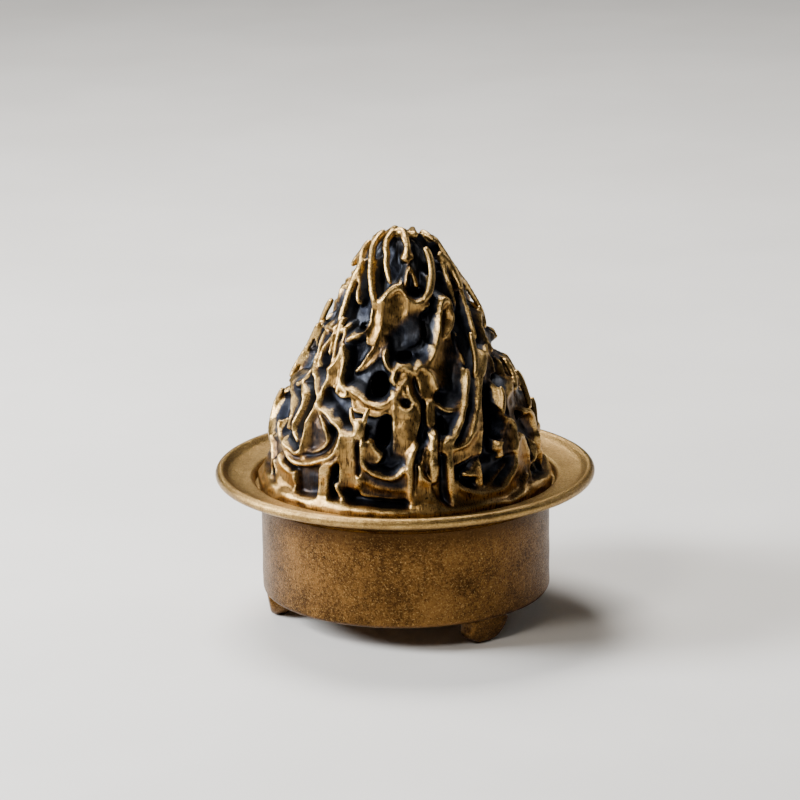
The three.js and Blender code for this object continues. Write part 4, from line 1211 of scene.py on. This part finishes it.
def incense_material():
    """Pressed brown powder with a charred band under a tip of pale ash."""
    look = Look("incense_powder")
    grain = look.noise((3.4, 3.4, 3.4), 4, 0.7)
    high = look.plus(look.height_mm(), grain, 1.6)
    powder = look.mixed(look.ramp(grain, 0.35, 0.65), (0.16, 0.09, 0.05), (0.36, 0.23, 0.14))
    ash = look.mixed(look.ramp(grain, 0.35, 0.65), (0.42, 0.4, 0.38), (0.78, 0.76, 0.73))
    char_z = CONE_HIGH.z - 4
    color = look.mixed(look.ramp(high, char_z - 0.8, char_z), powder, (0.02, 0.015, 0.012))
    color = look.mixed(look.ramp(high, char_z + 0.6, char_z + 1.2), color, ash)
    return look.finished(Base_Color=color, Roughness=0.9, Normal=look.bumped(grain, 0.12, 0.8))


# ---------------------------------------------------------------- the pieces

lid_brass = lid_material()
# The cup's wall carries painted shade under the brim.
cup_brass = cup_material("cup_brass_grain", (0.2, 0.098, 0.027), (0.04, 0.018, 0.005), (0.44, 0.26, 0.09),
                         wear=0.7, painted_brim_shade=0.8)
brim_brass = cup_material("brim_brass_grain", (0.46, 0.29, 0.095), (0.18, 0.105, 0.034), (0.66, 0.47, 0.2),
                          rough=0.27)

new_piece("mountain_lid", sculpt_lid(), lid_brass, "lid", "lid")
new_piece("cup_turned", turned("cup", cup_profile(), 224, 40, cup_wobble), cup_brass, "base", "cup_body")
new_piece("brim_turned", turned("brim", brim_profile(), 256, 34), brim_brass, "base", "brim_dish")
felt = new_piece("felt_mat", mat_mesh(), felt_material(), "mat", "fire_mat")
new_piece("incense", cone_mesh(), incense_material(), "cone", "incense_cone")

for foot_name, foot_angle in FOOT_ANGLES.items():
    foot = new_piece(foot_name.replace("foot", "cast_foot"), foot_mesh(foot_name, foot_angle), cup_brass,
                     "base", foot_name)
    rounding = foot.modifiers.new("rounding", "SUBSURF")
    rounding.levels = 2
    rounding.render_levels = 2

# ---------------------------------------------------------------- floor, lights and camera


def floor_material():
    look = Look("pale_table")
    cloud = look.ramp(look.noise((0.02, 0.02, 0.02), 3), 0.3, 0.7)
    return look.finished(Base_Color=look.mixed(cloud, (0.66, 0.64, 0.61), (0.7, 0.68, 0.65)), Roughness=0.7)


TABLE_REACH = 3
floor_mesh = bpy.data.meshes.new("table_top")
floor_mesh.from_pydata([(-TABLE_REACH, -TABLE_REACH, 0), (TABLE_REACH, -TABLE_REACH, 0),
                        (TABLE_REACH, TABLE_REACH, 0), (-TABLE_REACH, TABLE_REACH, 0)], [], [(0, 1, 2, 3)])
floor_mesh.materials.append(floor_material())
table_top = bpy.data.objects.new("table_top", floor_mesh)
bpy.context.scene.collection.objects.link(table_top)

BURNER_MIDDLE = Vector((0, 0, 0.03))


def area_light(name, place, power, size, color):
    """A soft square light that faces the middle of the burner. The place and size are in metres."""
    data = bpy.data.lights.new(name, "AREA")
    data.energy = power
    data.color = color
    data.shape = "RECTANGLE"
    data.size = size
    data.size_y = size
    lamp = bpy.data.objects.new(name, data)
    lamp.location = place
    towards = BURNER_MIDDLE - Vector(place)
    lamp.rotation_mode = "QUATERNION"
    lamp.rotation_quaternion = towards.to_track_quat("-Z", "Y")
    bpy.context.scene.collection.objects.link(lamp)


area_light("key_left", (-0.41, -0.04, 0.25), 6.3, 0.18, (0.94, 0.97, 1))
area_light("top_back", (-0.1, 0.25, 0.5), 5.2, 0.25, (1, 0.98, 0.95))
area_light("front_fill", (-0.3, -0.42, 0.5), 1.9, 0.15, (1, 0.95, 0.88))
area_light("right_edge", (0.4, 0.3, 0.25), 0.3, 0.08, (1, 0.97, 0.92))

world = bpy.data.worlds.new("studio")
world.use_nodes = True
background = world.node_tree.nodes["Background"]
background.inputs["Color"].default_value = (0.5, 0.5, 0.52, 1)
background.inputs["Strength"].default_value = 0.08
bpy.context.scene.world = world

# The camera stands where the photo's does: metres, a lens in mm, and a roll in degrees.
CAMERA_PLACE = Vector((0, -0.63634, 0.21222))
CAMERA_AIM = Vector((-0.00067, 0, 0.0343))
CAMERA_LENS = 189
CAMERA_ROLL = -0.68
camera_data = bpy.data.cameras.new("camera")
camera_data.lens = CAMERA_LENS
camera_data.sensor_width = 36
camera_data.clip_start = 0.01
camera_data.clip_end = 50
camera = bpy.data.objects.new("camera", camera_data)
camera.location = CAMERA_PLACE
camera.rotation_mode = "QUATERNION"
facing = (CAMERA_AIM - CAMERA_PLACE).to_track_quat("-Z", "Y")
camera.rotation_quaternion = facing @ Matrix.Rotation(math.radians(CAMERA_ROLL), 3, "Z").to_quaternion()
bpy.context.scene.collection.objects.link(camera)
bpy.context.scene.camera = camera

bpy.context.view_layer.update()
